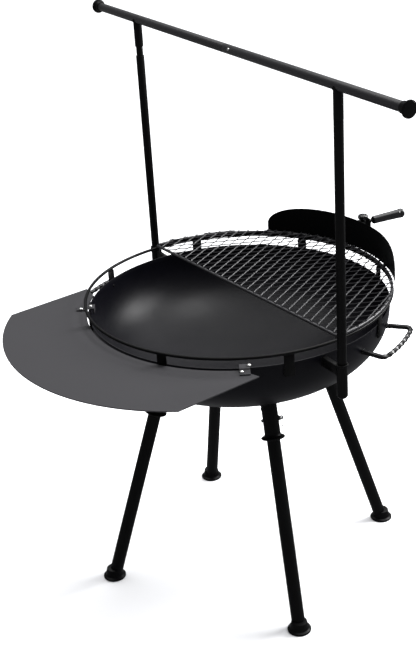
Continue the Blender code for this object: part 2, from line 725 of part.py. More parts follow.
def build():
    """Model the whole fire pit."""
    for thing in list(bpy.data.objects):
        bpy.data.objects.remove(thing, do_unlink=True)
    site = empty("bowl_axis", Matrix.Translation((0.0, BOWL_Y, 0.0)))
    coat = satin_black()
    bar_coat = paint("dark_grey_coat", (0.045, 0.045, 0.047), 0.42, 0.0)
    metal = zinc()
    cutter = make_bowl(site, bowl_black())
    make_rail(site, coat)
    for place in LEG_DEGS:
        make_leg(site, place, cutter, coat, metal)
    for place in HANDLE_DEGS:
        make_carry_handle(site, place, coat)
    for place, side in (("left", -1), ("right", 1)):
        make_pole_socket(site, place, side, cutter, coat)
    make_hook_frame(site, coat, bar_coat, metal)
    make_grate(site, coat, wire_grey())
    strap_inner = make_shield(site, coat)
    make_grip(site, strap_inner, coat, gloss_black())
    make_shelf(site, charcoal_coat(), metal)


build()
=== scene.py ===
import json
import math

import bmesh
import bpy
from mathutils import Matrix, Quaternion, Vector


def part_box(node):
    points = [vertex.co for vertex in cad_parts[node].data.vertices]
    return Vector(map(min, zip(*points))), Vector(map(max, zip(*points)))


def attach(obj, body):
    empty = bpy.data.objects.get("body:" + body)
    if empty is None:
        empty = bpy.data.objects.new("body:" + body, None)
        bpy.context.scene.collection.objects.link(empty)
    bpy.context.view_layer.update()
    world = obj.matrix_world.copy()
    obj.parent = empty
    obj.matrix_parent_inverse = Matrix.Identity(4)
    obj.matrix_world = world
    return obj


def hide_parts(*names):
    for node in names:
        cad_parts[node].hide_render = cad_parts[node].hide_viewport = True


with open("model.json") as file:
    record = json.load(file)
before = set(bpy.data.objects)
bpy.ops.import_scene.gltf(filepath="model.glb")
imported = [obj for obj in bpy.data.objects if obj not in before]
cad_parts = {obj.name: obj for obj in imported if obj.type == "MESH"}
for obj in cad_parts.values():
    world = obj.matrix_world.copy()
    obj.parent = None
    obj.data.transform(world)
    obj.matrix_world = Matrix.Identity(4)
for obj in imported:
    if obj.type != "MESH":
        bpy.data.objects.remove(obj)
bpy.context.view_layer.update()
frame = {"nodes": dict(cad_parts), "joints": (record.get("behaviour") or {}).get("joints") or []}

bowl_low, bowl_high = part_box("fire_bowl")
bowl_axis = Vector(((bowl_low.x + bowl_high.x) / 2, (bowl_low.y + bowl_high.y) / 2, 0.0))
rim_z = bowl_high.z

# --- Camera, floor and light ---------------------------------------------------------------
# A plain white studio sweep seen from the front right, a little above the grate.
# One broad soft light comes from high behind the bowl, so that upright black faces stay dark.
CAMERA_TURN_DEG = 61.75
CAMERA_RISE_DEG = 25.48
CAMERA_ROLL_DEG = -3.7
CAMERA_DISTANCE = 3.4004
CAMERA_AIM = bowl_axis + Vector((-0.1449, -0.0163, 0.600))
CAMERA_LENS_MM = 68.38
FLOOR_HALF = 60.0

turn = math.radians(CAMERA_TURN_DEG)
rise = math.radians(CAMERA_RISE_DEG)
towards_camera = Vector((math.sin(turn) * math.cos(rise), -math.cos(turn) * math.cos(rise), math.sin(rise)))
camera = bpy.data.objects.new("studio_camera", bpy.data.cameras.new("studio_camera"))
bpy.context.scene.collection.objects.link(camera)
camera.data.lens = CAMERA_LENS_MM
camera.data.clip_end = 200.0
camera.rotation_mode = "QUATERNION"
roll = Quaternion((0.0, 0.0, 1.0), math.radians(CAMERA_ROLL_DEG))
camera.rotation_quaternion = (-towards_camera).to_track_quat("-Z", "Y") @ roll
camera.location = CAMERA_AIM + towards_camera * CAMERA_DISTANCE
bpy.context.scene.camera = camera
bpy.context.scene.view_settings.view_transform = "Standard"


class Flow:
    """A socket in a material or a Geometry Nodes tree, so that its maths reads as Python."""

    def __init__(self, tree, socket=None):
        self.tree = tree
        self.socket = socket

    def node(self, kind, settings, inputs, output=0):
        """Any node: its settings are set first, then the values or links of its sockets."""
        made = self.tree.nodes.new(kind)
        for key, value in settings.items():
            setattr(made, key, value)
        for key, value in inputs.items():
            if isinstance(value, Flow):
                self.tree.links.new(value.socket, made.inputs[key])
            else:
                made.inputs[key].default_value = value
        return Flow(self.tree, made.outputs[output])

    def maths(self, operation, *values):
        return self.node("ShaderNodeMath", {"operation": operation}, dict(enumerate(values)))

    def __add__(self, other):
        return self.maths("ADD", self, other)

    def __sub__(self, other):
        return self.maths("SUBTRACT", self, other)

    def __rsub__(self, other):
        return self.maths("SUBTRACT", other, self)

    def __mul__(self, other):
        return self.maths("MULTIPLY", self, other)

    __radd__ = __add__
    __rmul__ = __mul__


def start_material(name, roughness, metallic=0.0, shine=0.5):
    """Principled material with its constant settings on the shader's own sockets."""
    material = bpy.data.materials.new(name)
    material.use_nodes = True
    shader = material.node_tree.nodes["Principled BSDF"]
    shader.inputs["Roughness"].default_value = roughness
    shader.inputs["Metallic"].default_value = metallic
    shader.inputs["Specular IOR Level"].default_value = shine
    return material, shader, Flow(material.node_tree)


def noise(flow, coordinates, scale, detail=3.0):
    return flow.node("ShaderNodeTexNoise", {}, {"Vector": coordinates, "Scale": scale, "Detail": detail}, "Fac")


def blend(flow, share, low, high):
    """Colour between two others."""
    return flow.node("ShaderNodeMix", {"data_type": "RGBA"}, {0: share, 6: (*low, 1.0), 7: (*high, 1.0)}, 2)


floor_mesh = bpy.data.meshes.new("studio_floor")
floor_corners = [(-FLOOR_HALF, -FLOOR_HALF, 0), (FLOOR_HALF, -FLOOR_HALF, 0)]
floor_corners += [(FLOOR_HALF, FLOOR_HALF, 0), (-FLOOR_HALF, FLOOR_HALF, 0)]
floor_mesh.from_pydata(floor_corners, [], [(0, 1, 2, 3)])
floor = bpy.data.objects.new("studio_floor", floor_mesh)
bpy.context.scene.collection.objects.link(floor)
floor_paint, floor_shader, floor_flow = start_material("pale_floor", 0.8, shine=0.2)
floor_shader.inputs["Base Color"].default_value = (0.90, 0.905, 0.92, 1.0)
floor_mesh.materials.append(floor_paint)
floor.visible_glossy = False

SUN_FROM = Vector((-0.22, 0.20, 0.95))
sun = bpy.data.objects.new("soft_key", bpy.data.lights.new("soft_key", "SUN"))
sun.data.energy = 4.4
sun.data.angle = math.radians(80.0)
sun.rotation_mode = "QUATERNION"
sun.rotation_quaternion = SUN_FROM.to_track_quat("Z", "Y")
bpy.context.scene.collection.objects.link(sun)
sky = bpy.data.worlds.new("studio_sky")
sky.use_nodes = True
sky.node_tree.nodes["Background"].inputs["Color"].default_value = (0.96, 0.97, 1.0, 1.0)
sky.node_tree.nodes["Background"].inputs["Strength"].default_value = 0.24
bpy.context.scene.world = sky

SOFTBOX_FROM = Vector((0.16, 0.850, 0.502))
softbox = bpy.data.objects.new("back_softbox", bpy.data.lights.new("back_softbox", "AREA"))
softbox.data.shape = "SQUARE"
softbox.data.size = 1.5
softbox.data.energy = 170.0
softbox.rotation_mode = "QUATERNION"
softbox.rotation_quaternion = SOFTBOX_FROM.to_track_quat("Z", "Y")
softbox.location = bowl_axis + Vector((0.0, 0.0, 0.7)) + SOFTBOX_FROM * 3.2
bpy.context.scene.collection.objects.link(softbox)

STRIP_FROM = Vector((0.05, 0.36, 0.93))
strip = bpy.data.objects.new("top_strip", bpy.data.lights.new("top_strip", "AREA"))
strip.data.shape = "RECTANGLE"
strip.data.size = 1.3
strip.data.size_y = 0.45
strip.data.energy = 42.0
strip.rotation_mode = "QUATERNION"
strip.rotation_quaternion = STRIP_FROM.to_track_quat("Z", "Y")
strip.location = bowl_axis + Vector((0.0, 0.0, 0.8)) + STRIP_FROM * 3.0
bpy.context.scene.collection.objects.link(strip)

# --- Fire bowl -----------------------------------------------------------------------------
# The dish is one disc of 2.5 mm sheet steel, pressed to shape and left with a plain sheared edge.
# It has a high-temperature satin coat, black with a slight blue cast.
BOWL_RADIUS = 0.381
BOWL_DEPTH = rim_z - bowl_low.z
BOWL_FULLNESS = 2.4
BOWL_SHEET = 0.0025
BOWL_SIDES = 192
BOWL_STEPS = 44


def powder_coat(name, low, high, roughness, shine, peel=0.05):
    """Baked coat: slow clouds in its colour and gloss, and the fine ripple of orange peel."""
    material, shader, flow = start_material(name, roughness, shine=shine)
    place = flow.node("ShaderNodeTexCoord", {}, {}, "Object")
    clouds = noise(flow, place, 7.0, 4.0)
    grain = noise(flow, place, 420.0, 2.0)
    tint = blend(flow, clouds * 0.7 + grain * 0.3, low, high)
    flow.tree.links.new(tint.socket, shader.inputs["Base Color"])
    gloss = roughness + 0.16 * (clouds - 0.5) + 0.05 * (grain - 0.5)
    flow.tree.links.new(gloss.socket, shader.inputs["Roughness"])
    ripple = flow.node(
        "ShaderNodeBump", {}, {"Height": noise(flow, place, 900.0, 1.0), "Strength": peel, "Distance": 0.0004}
    )
    flow.tree.links.new(ripple.socket, shader.inputs["Normal"])
    return material


bowl_coat = powder_coat("bowl_coat", (0.0012, 0.0012, 0.0024), (0.0022, 0.0021, 0.0040), 0.37, 0.15)
satin_coat = powder_coat("satin_coat", (0.0016, 0.0016, 0.0017), (0.0034, 0.0034, 0.0036), 0.38, 0.07)


def add_piece(name, mesh, coat):
    """Put a finished mesh in the scene, shaded smooth between its real edges."""
    mesh.name = name
    mesh.materials.clear()
    mesh.materials.append(coat)
    mesh.shade_smooth()
    mesh.set_sharp_from_angle(angle=math.radians(38.0))
    piece = bpy.data.objects.new(name, mesh)
    bpy.context.scene.collection.objects.link(piece)
    return piece


def close_mesh(bm, place):
    """Move a bmesh to its place, merge its doubles and turn its faces outwards."""
    bmesh.ops.transform(bm, matrix=place, verts=bm.verts)
    bmesh.ops.remove_doubles(bm, verts=bm.verts, dist=1e-6)
    bmesh.ops.dissolve_degenerate(bm, dist=1e-7, edges=bm.edges)
    bmesh.ops.recalc_face_normals(bm, faces=bm.faces)
    mesh = bpy.data.meshes.new("shape")
    bm.to_mesh(mesh)
    bm.free()
    return mesh


def eased(outline, ease, steps=3):
    """Closed outline with its corners rounded, apart from points on the turning axis."""
    rounded = []
    for i, (x, y) in enumerate(outline):
        corner = Vector((x, y))
        before = Vector(outline[i - 1]) - corner
        after = Vector(outline[(i + 1) % len(outline)]) - corner
        if abs(x) < 1e-9:
            rounded.append((x, y))
            continue
        start = corner + before.normalized() * min(ease, before.length * 0.45)
        end = corner + after.normalized() * min(ease, after.length * 0.45)
        for k in range(steps + 1):
            t = k / steps
            spot = start * (1 - t) ** 2 + corner * 2 * t * (1 - t) + end * t ** 2
            rounded.append((spot.x, spot.y))
    return rounded


def turned(name, outline, sides, place, coat):
    """Solid of revolution about its own Z axis from a closed (radius, height) outline."""
    bm = bmesh.new()
    columns = []
    for step in range(sides):
        angle = math.tau * step / sides
        spin = (math.cos(angle), math.sin(angle))
        columns.append([bm.verts.new((r * spin[0], r * spin[1], z)) for r, z in outline])
    for step in range(sides):
        near = columns[step - 1]
        far = columns[step]
        for i in range(len(outline)):
            bm.faces.new((near[i - 1], far[i - 1], far[i], near[i]))
    return add_piece(name, close_mesh(bm, place), coat)


def mount(piece, body, slot, *nodes):
    """Let a finished piece ride on its body and stand for its CAD nodes."""
    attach(piece, body)
    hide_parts(*nodes)


def dish(inset):
    """(radius, height) points of the dished sheet, from its middle up to the rim."""
    points = []
    for i in range(BOWL_STEPS + 1):
        angle = math.radians(90.0 * i / BOWL_STEPS)
        radius = (BOWL_RADIUS - inset) * math.sin(angle) ** (2.0 / BOWL_FULLNESS)
        depth = (BOWL_DEPTH - inset) * max(math.cos(angle), 0.0) ** (2.0 / BOWL_FULLNESS)
        points.append((radius, rim_z - depth))
    return points


at_bowl = Matrix.Translation(bowl_axis)
outside = dish(0.0)
inside = dish(BOWL_SHEET)
lip = [
    (BOWL_RADIUS - BOWL_SHEET * (0.5 - 0.5 * math.cos(math.radians(a))), rim_z - 0.0005 + 0.0005 * math.sin(math.radians(a)))
    for a in (30, 60, 90, 120, 150)
]
outside[-1] = (BOWL_RADIUS, rim_z - 0.0006)
inside[-1] = (BOWL_RADIUS - BOWL_SHEET, rim_z - 0.0006)
bowl = turned("bowl_dish", outside + lip + list(reversed(inside)), BOWL_SIDES, at_bowl, bowl_coat)
mount(bowl, "stand", "bowl_black_coat", "fire_bowl")


def bowl_wall(z):
    """Outer radius of the dish at a height."""
    depth = (rim_z - z) / BOWL_DEPTH
    return BOWL_RADIUS * (1.0 - depth ** BOWL_FULLNESS) ** (1.0 / BOWL_FULLNESS)


def polar(radius, degrees, z=0.0):
    """Point at a radius and a direction round the bowl's axis."""
    angle = math.radians(degrees)
    return bowl_axis + Vector((radius * math.cos(angle), radius * math.sin(angle), z))


# --- Rail ring and its tabs ----------------------------------------------------------------
# A ring of 8 mm rod stands above the rim on eight flat tabs, welded to the outside of the bowl.
# The tabs and the ring are one weldment in satin black, and each tab has a rivet through the wall.
RING_RADIUS = 0.386
RING_ROD = 0.004
TAB_COUNT = 8
TAB_WIDTH = 0.025
TAB_SHEET = 0.003
FIRST_TAB_DEG = -148.5
TAB_RIVET_Z = rim_z - 0.020


def start_tree(name, sizes):
    """Geometry Nodes tree with a geometry in and out, and a named input for each size."""
    tree = bpy.data.node_groups.new(name, "GeometryNodeTree")
    tree.interface.new_socket("Geometry", in_out="INPUT", socket_type="NodeSocketGeometry")
    tree.interface.new_socket("Geometry", in_out="OUTPUT", socket_type="NodeSocketGeometry")
    for label, kind in sizes.items():
        tree.interface.new_socket(label, in_out="INPUT", socket_type="NodeSocket" + kind)
    given = tree.nodes.new("NodeGroupInput")
    return Flow(tree), {socket.name: Flow(tree, socket) for socket in given.outputs if socket.name}


def end_tree(flow, geometry, material):
    """Close a tree with real geometry in its material."""
    real = flow.node("GeometryNodeRealizeInstances", {}, {"Geometry": geometry})
    painted = flow.node("GeometryNodeSetMaterial", {}, {"Geometry": real, "Material": material})
    result = flow.tree.nodes.new("NodeGroupOutput")
    flow.tree.links.new(painted.socket, result.inputs[0])
    return flow.tree


def grown(name, seed, tree, coat, **sizes):
    """Run a tree on a seed mesh and keep the result as a plain mesh."""
    carrier = bpy.data.objects.new(name + "_seed", seed)
    bpy.context.scene.collection.objects.link(carrier)
    modifier = carrier.modifiers.new("grow", "NODES")
    modifier.node_group = tree
    sizes["Material"] = coat
    for item in tree.interface.items_tree:
        label = item.name.replace(" ", "_")
        if item.in_out == "INPUT" and label in sizes:
            modifier[item.identifier] = sizes[label]
    seen = carrier.evaluated_get(bpy.context.evaluated_depsgraph_get())
    mesh = bpy.data.meshes.new_from_object(seen)
    bpy.data.objects.remove(carrier)
    return add_piece(name, mesh, coat)


def path_mesh(points, closed=False):
    """Chain of edges through points, the seed of everything that follows a path."""
    mesh = bpy.data.meshes.new("path")
    edges = [(i, i + 1) for i in range(len(points) - 1)]
    if closed:
        edges.append((len(points) - 1, 0))
    mesh.from_pydata([tuple(point) for point in points], edges, [])
    return mesh


def bar_tree():
    """Bar of a rounded square or a round section along a path, twisted between two shares of it."""
    sizes = {"Width": "Float", "Rounding": "Float", "Turns": "Float", "Twist Start": "Float"}
    flow, given = start_tree("bar_stock", {**sizes, "Material": "Material"})
    path = flow.node("GeometryNodeMeshToCurve", {}, {"Mesh": given["Geometry"]})
    share = flow.node("GeometryNodeSplineParameter", {}, {}, "Factor")
    start = given["Twist Start"]
    ramp = flow.node(
        "ShaderNodeMapRange", {"clamp": True}, {"Value": share, "From Min": start, "From Max": 1 - start}
    )
    tilted = flow.node(
        "GeometryNodeSetCurveTilt", {}, {"Curve": path, "Tilt": ramp * given["Turns"] * math.tau}
    )
    square = flow.node(
        "GeometryNodeCurvePrimitiveQuadrilateral", {"mode": "RECTANGLE"},
        {"Width": given["Width"], "Height": given["Width"]},
    )
    section = flow.node(
        "GeometryNodeFilletCurve", {"mode": "POLY"},
        {"Curve": square, "Radius": given["Rounding"], "Count": 4, "Limit Radius": True},
    )
    bar = flow.node(
        "GeometryNodeCurveToMesh", {}, {"Curve": tilted, "Profile Curve": section, "Fill Caps": True}
    )
    return end_tree(flow, bar, given["Material"])


def bead_tree():
    """Weld bead: overlapping ripples of molten steel along a path."""
    sizes = {"Spacing": "Float", "Size": "Float", "Seed": "Int", "Material": "Material"}
    flow, given = start_tree("weld_bead", sizes)
    path = flow.node("GeometryNodeMeshToCurve", {}, {"Mesh": given["Geometry"]})
    spots = flow.node(
        "GeometryNodeCurveToPoints", {"mode": "LENGTH"}, {"Curve": path, "Length": given["Spacing"]}
    )
    rotation = Flow(flow.tree, spots.socket.node.outputs["Rotation"])
    drop = flow.node("GeometryNodeMeshIcoSphere", {}, {"Radius": 1.0, "Subdivisions": 2})
    vary = flow.node(
        "FunctionNodeRandomValue", {"data_type": "FLOAT"}, {2: 0.86, 3: 1.14, "Seed": given["Seed"]}, 1
    )
    size = flow.node("ShaderNodeCombineXYZ", {}, {0: vary, 1: vary, 2: vary * 0.62})
    scaled = flow.node(
        "ShaderNodeVectorMath", {"operation": "SCALE"}, {0: size, "Scale": given["Size"]}
    )
    beads = flow.node(
        "GeometryNodeInstanceOnPoints", {},
        {"Points": spots, "Instance": drop, "Rotation": rotation, "Scale": scaled},
    )
    return end_tree(flow, beads, given["Material"])


bar_stock = bar_tree()
weld_bead = bead_tree()


def rod(name, points, radius, coat, closed=False):
    """Round rod along a path."""
    seed = path_mesh(points, closed)
    return grown(name, seed, bar_stock, coat, Width=2 * radius, Rounding=radius * 0.999, Twist_Start=0.25)


def weld(name, points, coat, closed=False, size=0.0022):
    """Weld bead along a path."""
    return grown(name, path_mesh(points, closed), weld_bead, coat, Spacing=size * 0.8, Size=size, Seed=7)


def slab(name, outline, low, high, place, coat, edge=0.0004):
    """Flat plate from an XY outline, with its sheared edges softened."""
    bm = bmesh.new()
    face = bm.faces.new([bm.verts.new((x, y, low)) for x, y in outline])
    raised = bmesh.ops.extrude_face_region(bm, geom=[face])["geom"]
    top = [item for item in raised if isinstance(item, bmesh.types.BMVert)]
    bmesh.ops.translate(bm, verts=top, vec=(0.0, 0.0, high - low))
    piece = add_piece(name, close_mesh(bm, place), coat)
    soften = piece.modifiers.new("edge", "BEVEL")
    soften.width = edge
    soften.segments = 2
    soften.limit_method = "ANGLE"
    soften.angle_limit = math.radians(40.0)
    soften.harden_normals = True
    return piece


def joined(name, pieces, coat):
    """One mesh from several shapes of one weldment, with their modifiers applied."""
    bm = bmesh.new()
    graph = bpy.context.evaluated_depsgraph_get()
    for piece in pieces:
        shape = bpy.data.meshes.new_from_object(piece.evaluated_get(graph))
        bm.from_mesh(shape)
        bpy.data.objects.remove(piece)
    mesh = bpy.data.meshes.new(name)
    bm.to_mesh(mesh)
    bm.free()
    return add_piece(name, mesh, coat)


ring_low, ring_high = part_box("rail_ring")
ring_z = (ring_low.z + ring_high.z) / 2
tab_low, tab_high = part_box("rail_tab_1")
ring_path = [polar(RING_RADIUS, 360.0 * i / BOWL_SIDES, ring_z) for i in range(BOWL_SIDES)]
ring = rod("rail_ring_rod", ring_path, RING_ROD, satin_coat, closed=True)
mount(ring, "stand", "satin_black_coat", "rail_ring")

tabs = []
tab_names = ["rail_tab_%d" % (number + 1) for number in range(TAB_COUNT)]
for number in range(TAB_COUNT):
    heading = FIRST_TAB_DEG + 360.0 * number / TAB_COUNT
    facing = at_bowl @ Matrix.Rotation(math.radians(heading), 4, "Z")
    near = BOWL_RADIUS
    half = TAB_WIDTH / 2
    outline = [(near, -half), (near + TAB_SHEET, -half), (near + TAB_SHEET, half), (near, half)]
    tabs.append(slab("tab", outline, tab_low.z, tab_high.z, facing, satin_coat))
    for side in (-1, 1):
        foot = facing @ Vector((near + 0.0010, side * half, 0.0))
        run = [Vector((foot.x, foot.y, z)) for z in (tab_low.z + 0.002, rim_z - 0.014)]
        tabs.append(weld("tab_weld", run, satin_coat, size=0.0019))
    across = [facing @ Vector((near + 0.0016, y, tab_high.z - 0.0002)) for y in (-0.009, 0.009)]
    tabs.append(weld("ring_weld", across, satin_coat, size=0.0022))
    rivet_place = facing @ Matrix.Translation((near - BOWL_SHEET, 0, TAB_RIVET_Z)) @ Matrix.Rotation(math.radians(-90), 4, "Y")
    head = [(0.0, -0.0005), (0.0042, -0.0005), (0.0040, 0.0008), (0.0026, 0.0021), (0.0, 0.0026)]
    tabs.append(turned("rivet", eased(head, 0.0003), 20, rivet_place, satin_coat))
rail_tabs = joined("rail_tabs", tabs, satin_coat)
mount(rail_tabs, "stand", "satin_black_coat", *tab_names)

# --- Legs ----------------------------------------------------------------------------------
# Each leg is a 34 mm tube that plugs into a flanged socket welded under the bowl.
# A zinc cross pin with a drilled head holds it, and the foot is a pressed steel cap.
LEG_LEAN = (0.390 - 0.240) / 0.475
FLANGE_Z = 0.475
LEG_TUBE = 0.017
LEG_WALL = 0.002
SOCKET_TUBE = 0.020
SOCKET_FLANGE = 0.030
SOCKET_BORE = 0.0175
PIN_ABOVE_FLANGE = 0.048
PIN_RADIUS = 0.004
RIVET_ANGLE = math.radians(-104.8)
RIVET_HEAD = [(0.0, -0.0004), (0.0034, -0.0004), (0.0032, 0.0007), (0.0019, 0.0016), (0.0, 0.0019)]


def zinc_plate(name, low, high):
    """Zinc plate: metal with faint cloudy spangle in its colour and gloss."""
    material, shader, flow = start_material(name, 0.28, metallic=1.0)
    place = flow.node("ShaderNodeTexCoord", {}, {}, "Object")
    clouds = noise(flow, place, 160.0, 2.0)
    tint = blend(flow, clouds, low, high)
    flow.tree.links.new(tint.socket, shader.inputs["Base Color"])
    gloss = 0.20 + 0.18 * clouds
    flow.tree.links.new(gloss.socket, shader.inputs["Roughness"])
    return material


zinc = zinc_plate("zinc", (0.50, 0.50, 0.49), (0.74, 0.74, 0.72))
dark_zinc = zinc_plate("dark_zinc", (0.075, 0.075, 0.077), (0.14, 0.14, 0.142))


def leg_place(name):
    """Matrix of a leg: on the floor under its foot, +Z up the tube and +Y along its cross pin."""
    low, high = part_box("foot_cap_" + name)
    spot = Vector(((low.x + high.x) / 2, (low.y + high.y) / 2, 0.0))
    heading = math.atan2(spot.y - bowl_axis.y, spot.x - bowl_axis.x)
    up = Vector((-LEG_LEAN, 0.0, 1.0)).normalized()
    across = Vector((0.0, 1.0, 0.0))
    lean = Matrix((across.cross(up), across, up)).transposed().to_4x4()
    return Matrix.Translation(spot) @ Matrix.Rotation(heading, 4, "Z") @ lean


def meet_bowl(place, x, y):
    """Where a line up a leg, x and y from its axis, meets the outside of the dish."""
    low = 0.30
    high = 0.75
    for _ in range(40):
        middle = (low + high) / 2
        spot = place @ Vector((x, y, middle))
        flat = Vector((spot.x - bowl_axis.x, spot.y - bowl_axis.y)).length
        depth = min((rim_z - spot.z) / BOWL_DEPTH, 1.5)
        if (flat / BOWL_RADIUS) ** BOWL_FULLNESS + depth ** BOWL_FULLNESS > 1.0:
            low = middle
        else:
            high = middle
    return low


for name in ("front", "right", "back", "left"):
    place = leg_place(name)
    slope = math.sqrt(1.0 + LEG_LEAN ** 2)
    flange = FLANGE_Z * slope
    around = [math.tau * i / 60 for i in range(60)]
    seam = [place @ Vector((SOCKET_TUBE * math.cos(a), SOCKET_TUBE * math.sin(a), meet_bowl(place, SOCKET_TUBE * math.cos(a), SOCKET_TUBE * math.sin(a)))) for a in around]
    reach = [meet_bowl(place, SOCKET_TUBE * math.cos(a), SOCKET_TUBE * math.sin(a)) for a in around]

    lower = [
        (SOCKET_BORE, flange - 0.004), (SOCKET_TUBE - 0.001, flange - 0.004), (SOCKET_TUBE, flange),
        (SOCKET_FLANGE - 0.002, flange), (SOCKET_FLANGE, flange + 0.002), (SOCKET_FLANGE, flange + 0.004),
        (SOCKET_FLANGE - 0.003, flange + 0.006), (SOCKET_TUBE + 0.002, flange + 0.008), (SOCKET_TUBE, flange + 0.013),
        (SOCKET_TUBE, min(reach)), (SOCKET_BORE, min(reach)),
    ]
    collar = turned("collar", eased(lower, 0.0008), 64, place, satin_coat)
    bm = bmesh.new()
    walls = []
    for a, top in zip(around, reach):
        ring_spots = []
        for radius, z in ((SOCKET_TUBE, min(reach) - 0.001), (SOCKET_TUBE, top), (SOCKET_BORE, top), (SOCKET_BORE, min(reach) - 0.001)):
            ring_spots.append(bm.verts.new((radius * math.cos(a), radius * math.sin(a), z)))
        walls.append(ring_spots)
    for i in range(len(walls)):
        for k in range(4):
            bm.faces.new((walls[i - 1][k - 1], walls[i][k - 1], walls[i][k], walls[i - 1][k]))
    saddle = add_piece("saddle", close_mesh(bm, place), satin_coat)
    bead = weld("socket_weld", seam, satin_coat, closed=True, size=0.0026)
    socket = joined("leg_socket_" + name + "_weldment", [collar, saddle, bead], satin_coat)
    mount(socket, "stand", "satin_black_coat", "leg_socket_" + name)

    rivet_side = (math.cos(RIVET_ANGLE), math.sin(RIVET_ANGLE))
    rivet_top = meet_bowl(place, SOCKET_TUBE * rivet_side[0], SOCKET_TUBE * rivet_side[1])
    rivets = []
    for drop in (0.010, 0.021):
        spot = Matrix.Translation((SOCKET_TUBE * rivet_side[0], SOCKET_TUBE * rivet_side[1], rivet_top - drop))
        rivet_place = place @ spot @ Matrix.Rotation(RIVET_ANGLE, 4, "Z") @ Matrix.Rotation(math.radians(90), 4, "Y")
        rivets.append(turned("rivet", eased(RIVET_HEAD, 0.0003), 20, rivet_place, zinc))
    rivet_pair = joined("leg_socket_" + name + "_rivets", rivets, zinc)
    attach(rivet_pair, "stand")

    pipe = [(LEG_TUBE - LEG_WALL, 0.0125), (LEG_TUBE, 0.0125), (LEG_TUBE, flange + 0.075), (LEG_TUBE - LEG_WALL, flange + 0.075)]
    leg = turned("leg_tube_" + name + "_pipe", eased(pipe, 0.0005), 64, place, satin_coat)
    mount(leg, "stand", "satin_black_coat", "leg_tube_" + name)

    dome = [
        (0.0, 0.0), (0.0290, 0.0), (0.0300, 0.0010), (0.0300, 0.0048), (0.0240, 0.0078),
        (0.0222, 0.0140), (0.0212, 0.0210), (0.0198, 0.0268), (0.0, 0.0268),
    ]
    low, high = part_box("foot_cap_" + name)
    foot_place = Matrix.Translation(((low.x + high.x) / 2, (low.y + high.y) / 2, 0.0))
    foot = turned("foot_cap_" + name + "_pressing", eased(dome, 0.0012, 4), 72, foot_place, satin_coat)
    mount(foot, "stand", "satin_black_coat", "foot_cap_" + name)

    pin_place = place @ Matrix.Translation((0, 0, flange + PIN_ABOVE_FLANGE)) @ Matrix.Rotation(math.radians(-90), 4, "X")
    tail = SOCKET_TUBE + 0.004
    head = SOCKET_TUBE + 0.0006
    shank = [(0.0, -tail), (PIN_RADIUS, -tail), (PIN_RADIUS, head), (0.0065, head), (0.0065, head + 0.002), (0.0, head + 0.002)]
    pin = turned("pin", eased(shank, 0.0007), 32, pin_place, dark_zinc)
    eye = [(0.0022, -0.0015), (0.0052, -0.0015), (0.0052, 0.0015), (0.0022, 0.0015)]
    eye_place = pin_place @ Matrix.Translation((0, 0, head + 0.0070)) @ Matrix.Rotation(math.radians(90), 4, "Y")
    lug = turned("lug", eased(eye, 0.0005), 28, eye_place, dark_zinc)
    mount(joined("leg_pin_" + name + "_turned", [pin, lug], dark_zinc), "pull_pin_" + name, "bright_zinc", "leg_pin_" + name)
    hang = pin_place @ Vector((0.0, 0.0, head + 0.0075))
    down = (place.to_3x3() @ Vector((0, 0, -1))).normalized()
    out = (place.to_3x3() @ Vector((1, 0, 0))).normalized()
    loop = [hang + down * (0.011 - 0.011 * math.cos(math.tau * i / 40)) + out * 0.011 * math.sin(math.tau * i / 40) for i in range(40)]
    pull = rod("pull_ring_" + name + "_wire", loop, 0.0009, zinc, closed=True)
    mount(pull, "pull_pin_" + name, "bright_zinc", "pull_ring_" + name)

# --- Carry handles -------------------------------------------------------------------------
# Two handles of 8.5 mm square bar, bent to a U and welded to the bowl's wall.
# The bar is twisted along the grip and left square on its two arms.
HANDLE_BAR = 0.0094
HANDLE_HALF_DEG = 11.75
HANDLE_REACH = 0.440
HANDLE_BEND = 0.016
HANDLE_TURNS = 2.0
handle_coat = powder_coat("handle_coat", (0.0016, 0.0016, 0.0019), (0.0034, 0.0034, 0.0038), 0.24, 0.26)
handle_low, handle_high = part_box("carry_handle_right")
handle_z = (handle_low.z + handle_high.z) / 2

for name, heading in (("right", 31.5), ("left", -148.5)):
    root = bowl_wall(handle_z)
    bend_deg = math.degrees(HANDLE_BEND / HANDLE_REACH)
    arms = []
    for side in (-1, 1):
        arm = [polar(root + (HANDLE_REACH - HANDLE_BEND - root) * i / 12, heading + side * HANDLE_HALF_DEG, handle_z) for i in range(12)]
        for i in range(9):
            angle = math.radians(90.0 * i / 8)
            radius = HANDLE_REACH - HANDLE_BEND * (1.0 - math.sin(angle))
            offset = HANDLE_HALF_DEG - bend_deg * (1.0 - math.cos(angle))
            arm.append(polar(radius, heading + side * offset, handle_z))
        arms.append(arm)
    grip_half = HANDLE_HALF_DEG - bend_deg
    outer = [polar(HANDLE_REACH, heading - grip_half + 2 * grip_half * i / 90, handle_z) for i in range(1, 90)]
    route = arms[0] + outer + list(reversed(arms[1]))
    seed = path_mesh(route)
    bar = grown(
        "bar", seed, bar_stock, handle_coat,
        Width=HANDLE_BAR, Rounding=0.0008, Turns=HANDLE_TURNS, Twist_Start=0.19,
    )
    beads = []
    for side in (-1, 1):
        centre = polar(root + 0.0012, heading + side * HANDLE_HALF_DEG, handle_z)
        out = (centre - bowl_axis).to_2d().normalized()
        along = Vector((-out.y, out.x, 0.0))
        loop = [centre + along * 0.0052 * math.cos(math.tau * i / 16) + Vector((0, 0, 0.0052 * math.sin(math.tau * i / 16))) for i in range(16)]
        beads.append(weld("foot_weld", loop, handle_coat, closed=True, size=0.0022))
    handle = joined("carry_handle_" + name + "_bar", [bar] + beads, handle_coat)
    mount(handle, "stand", "satin_black_coat", "carry_handle_" + name)

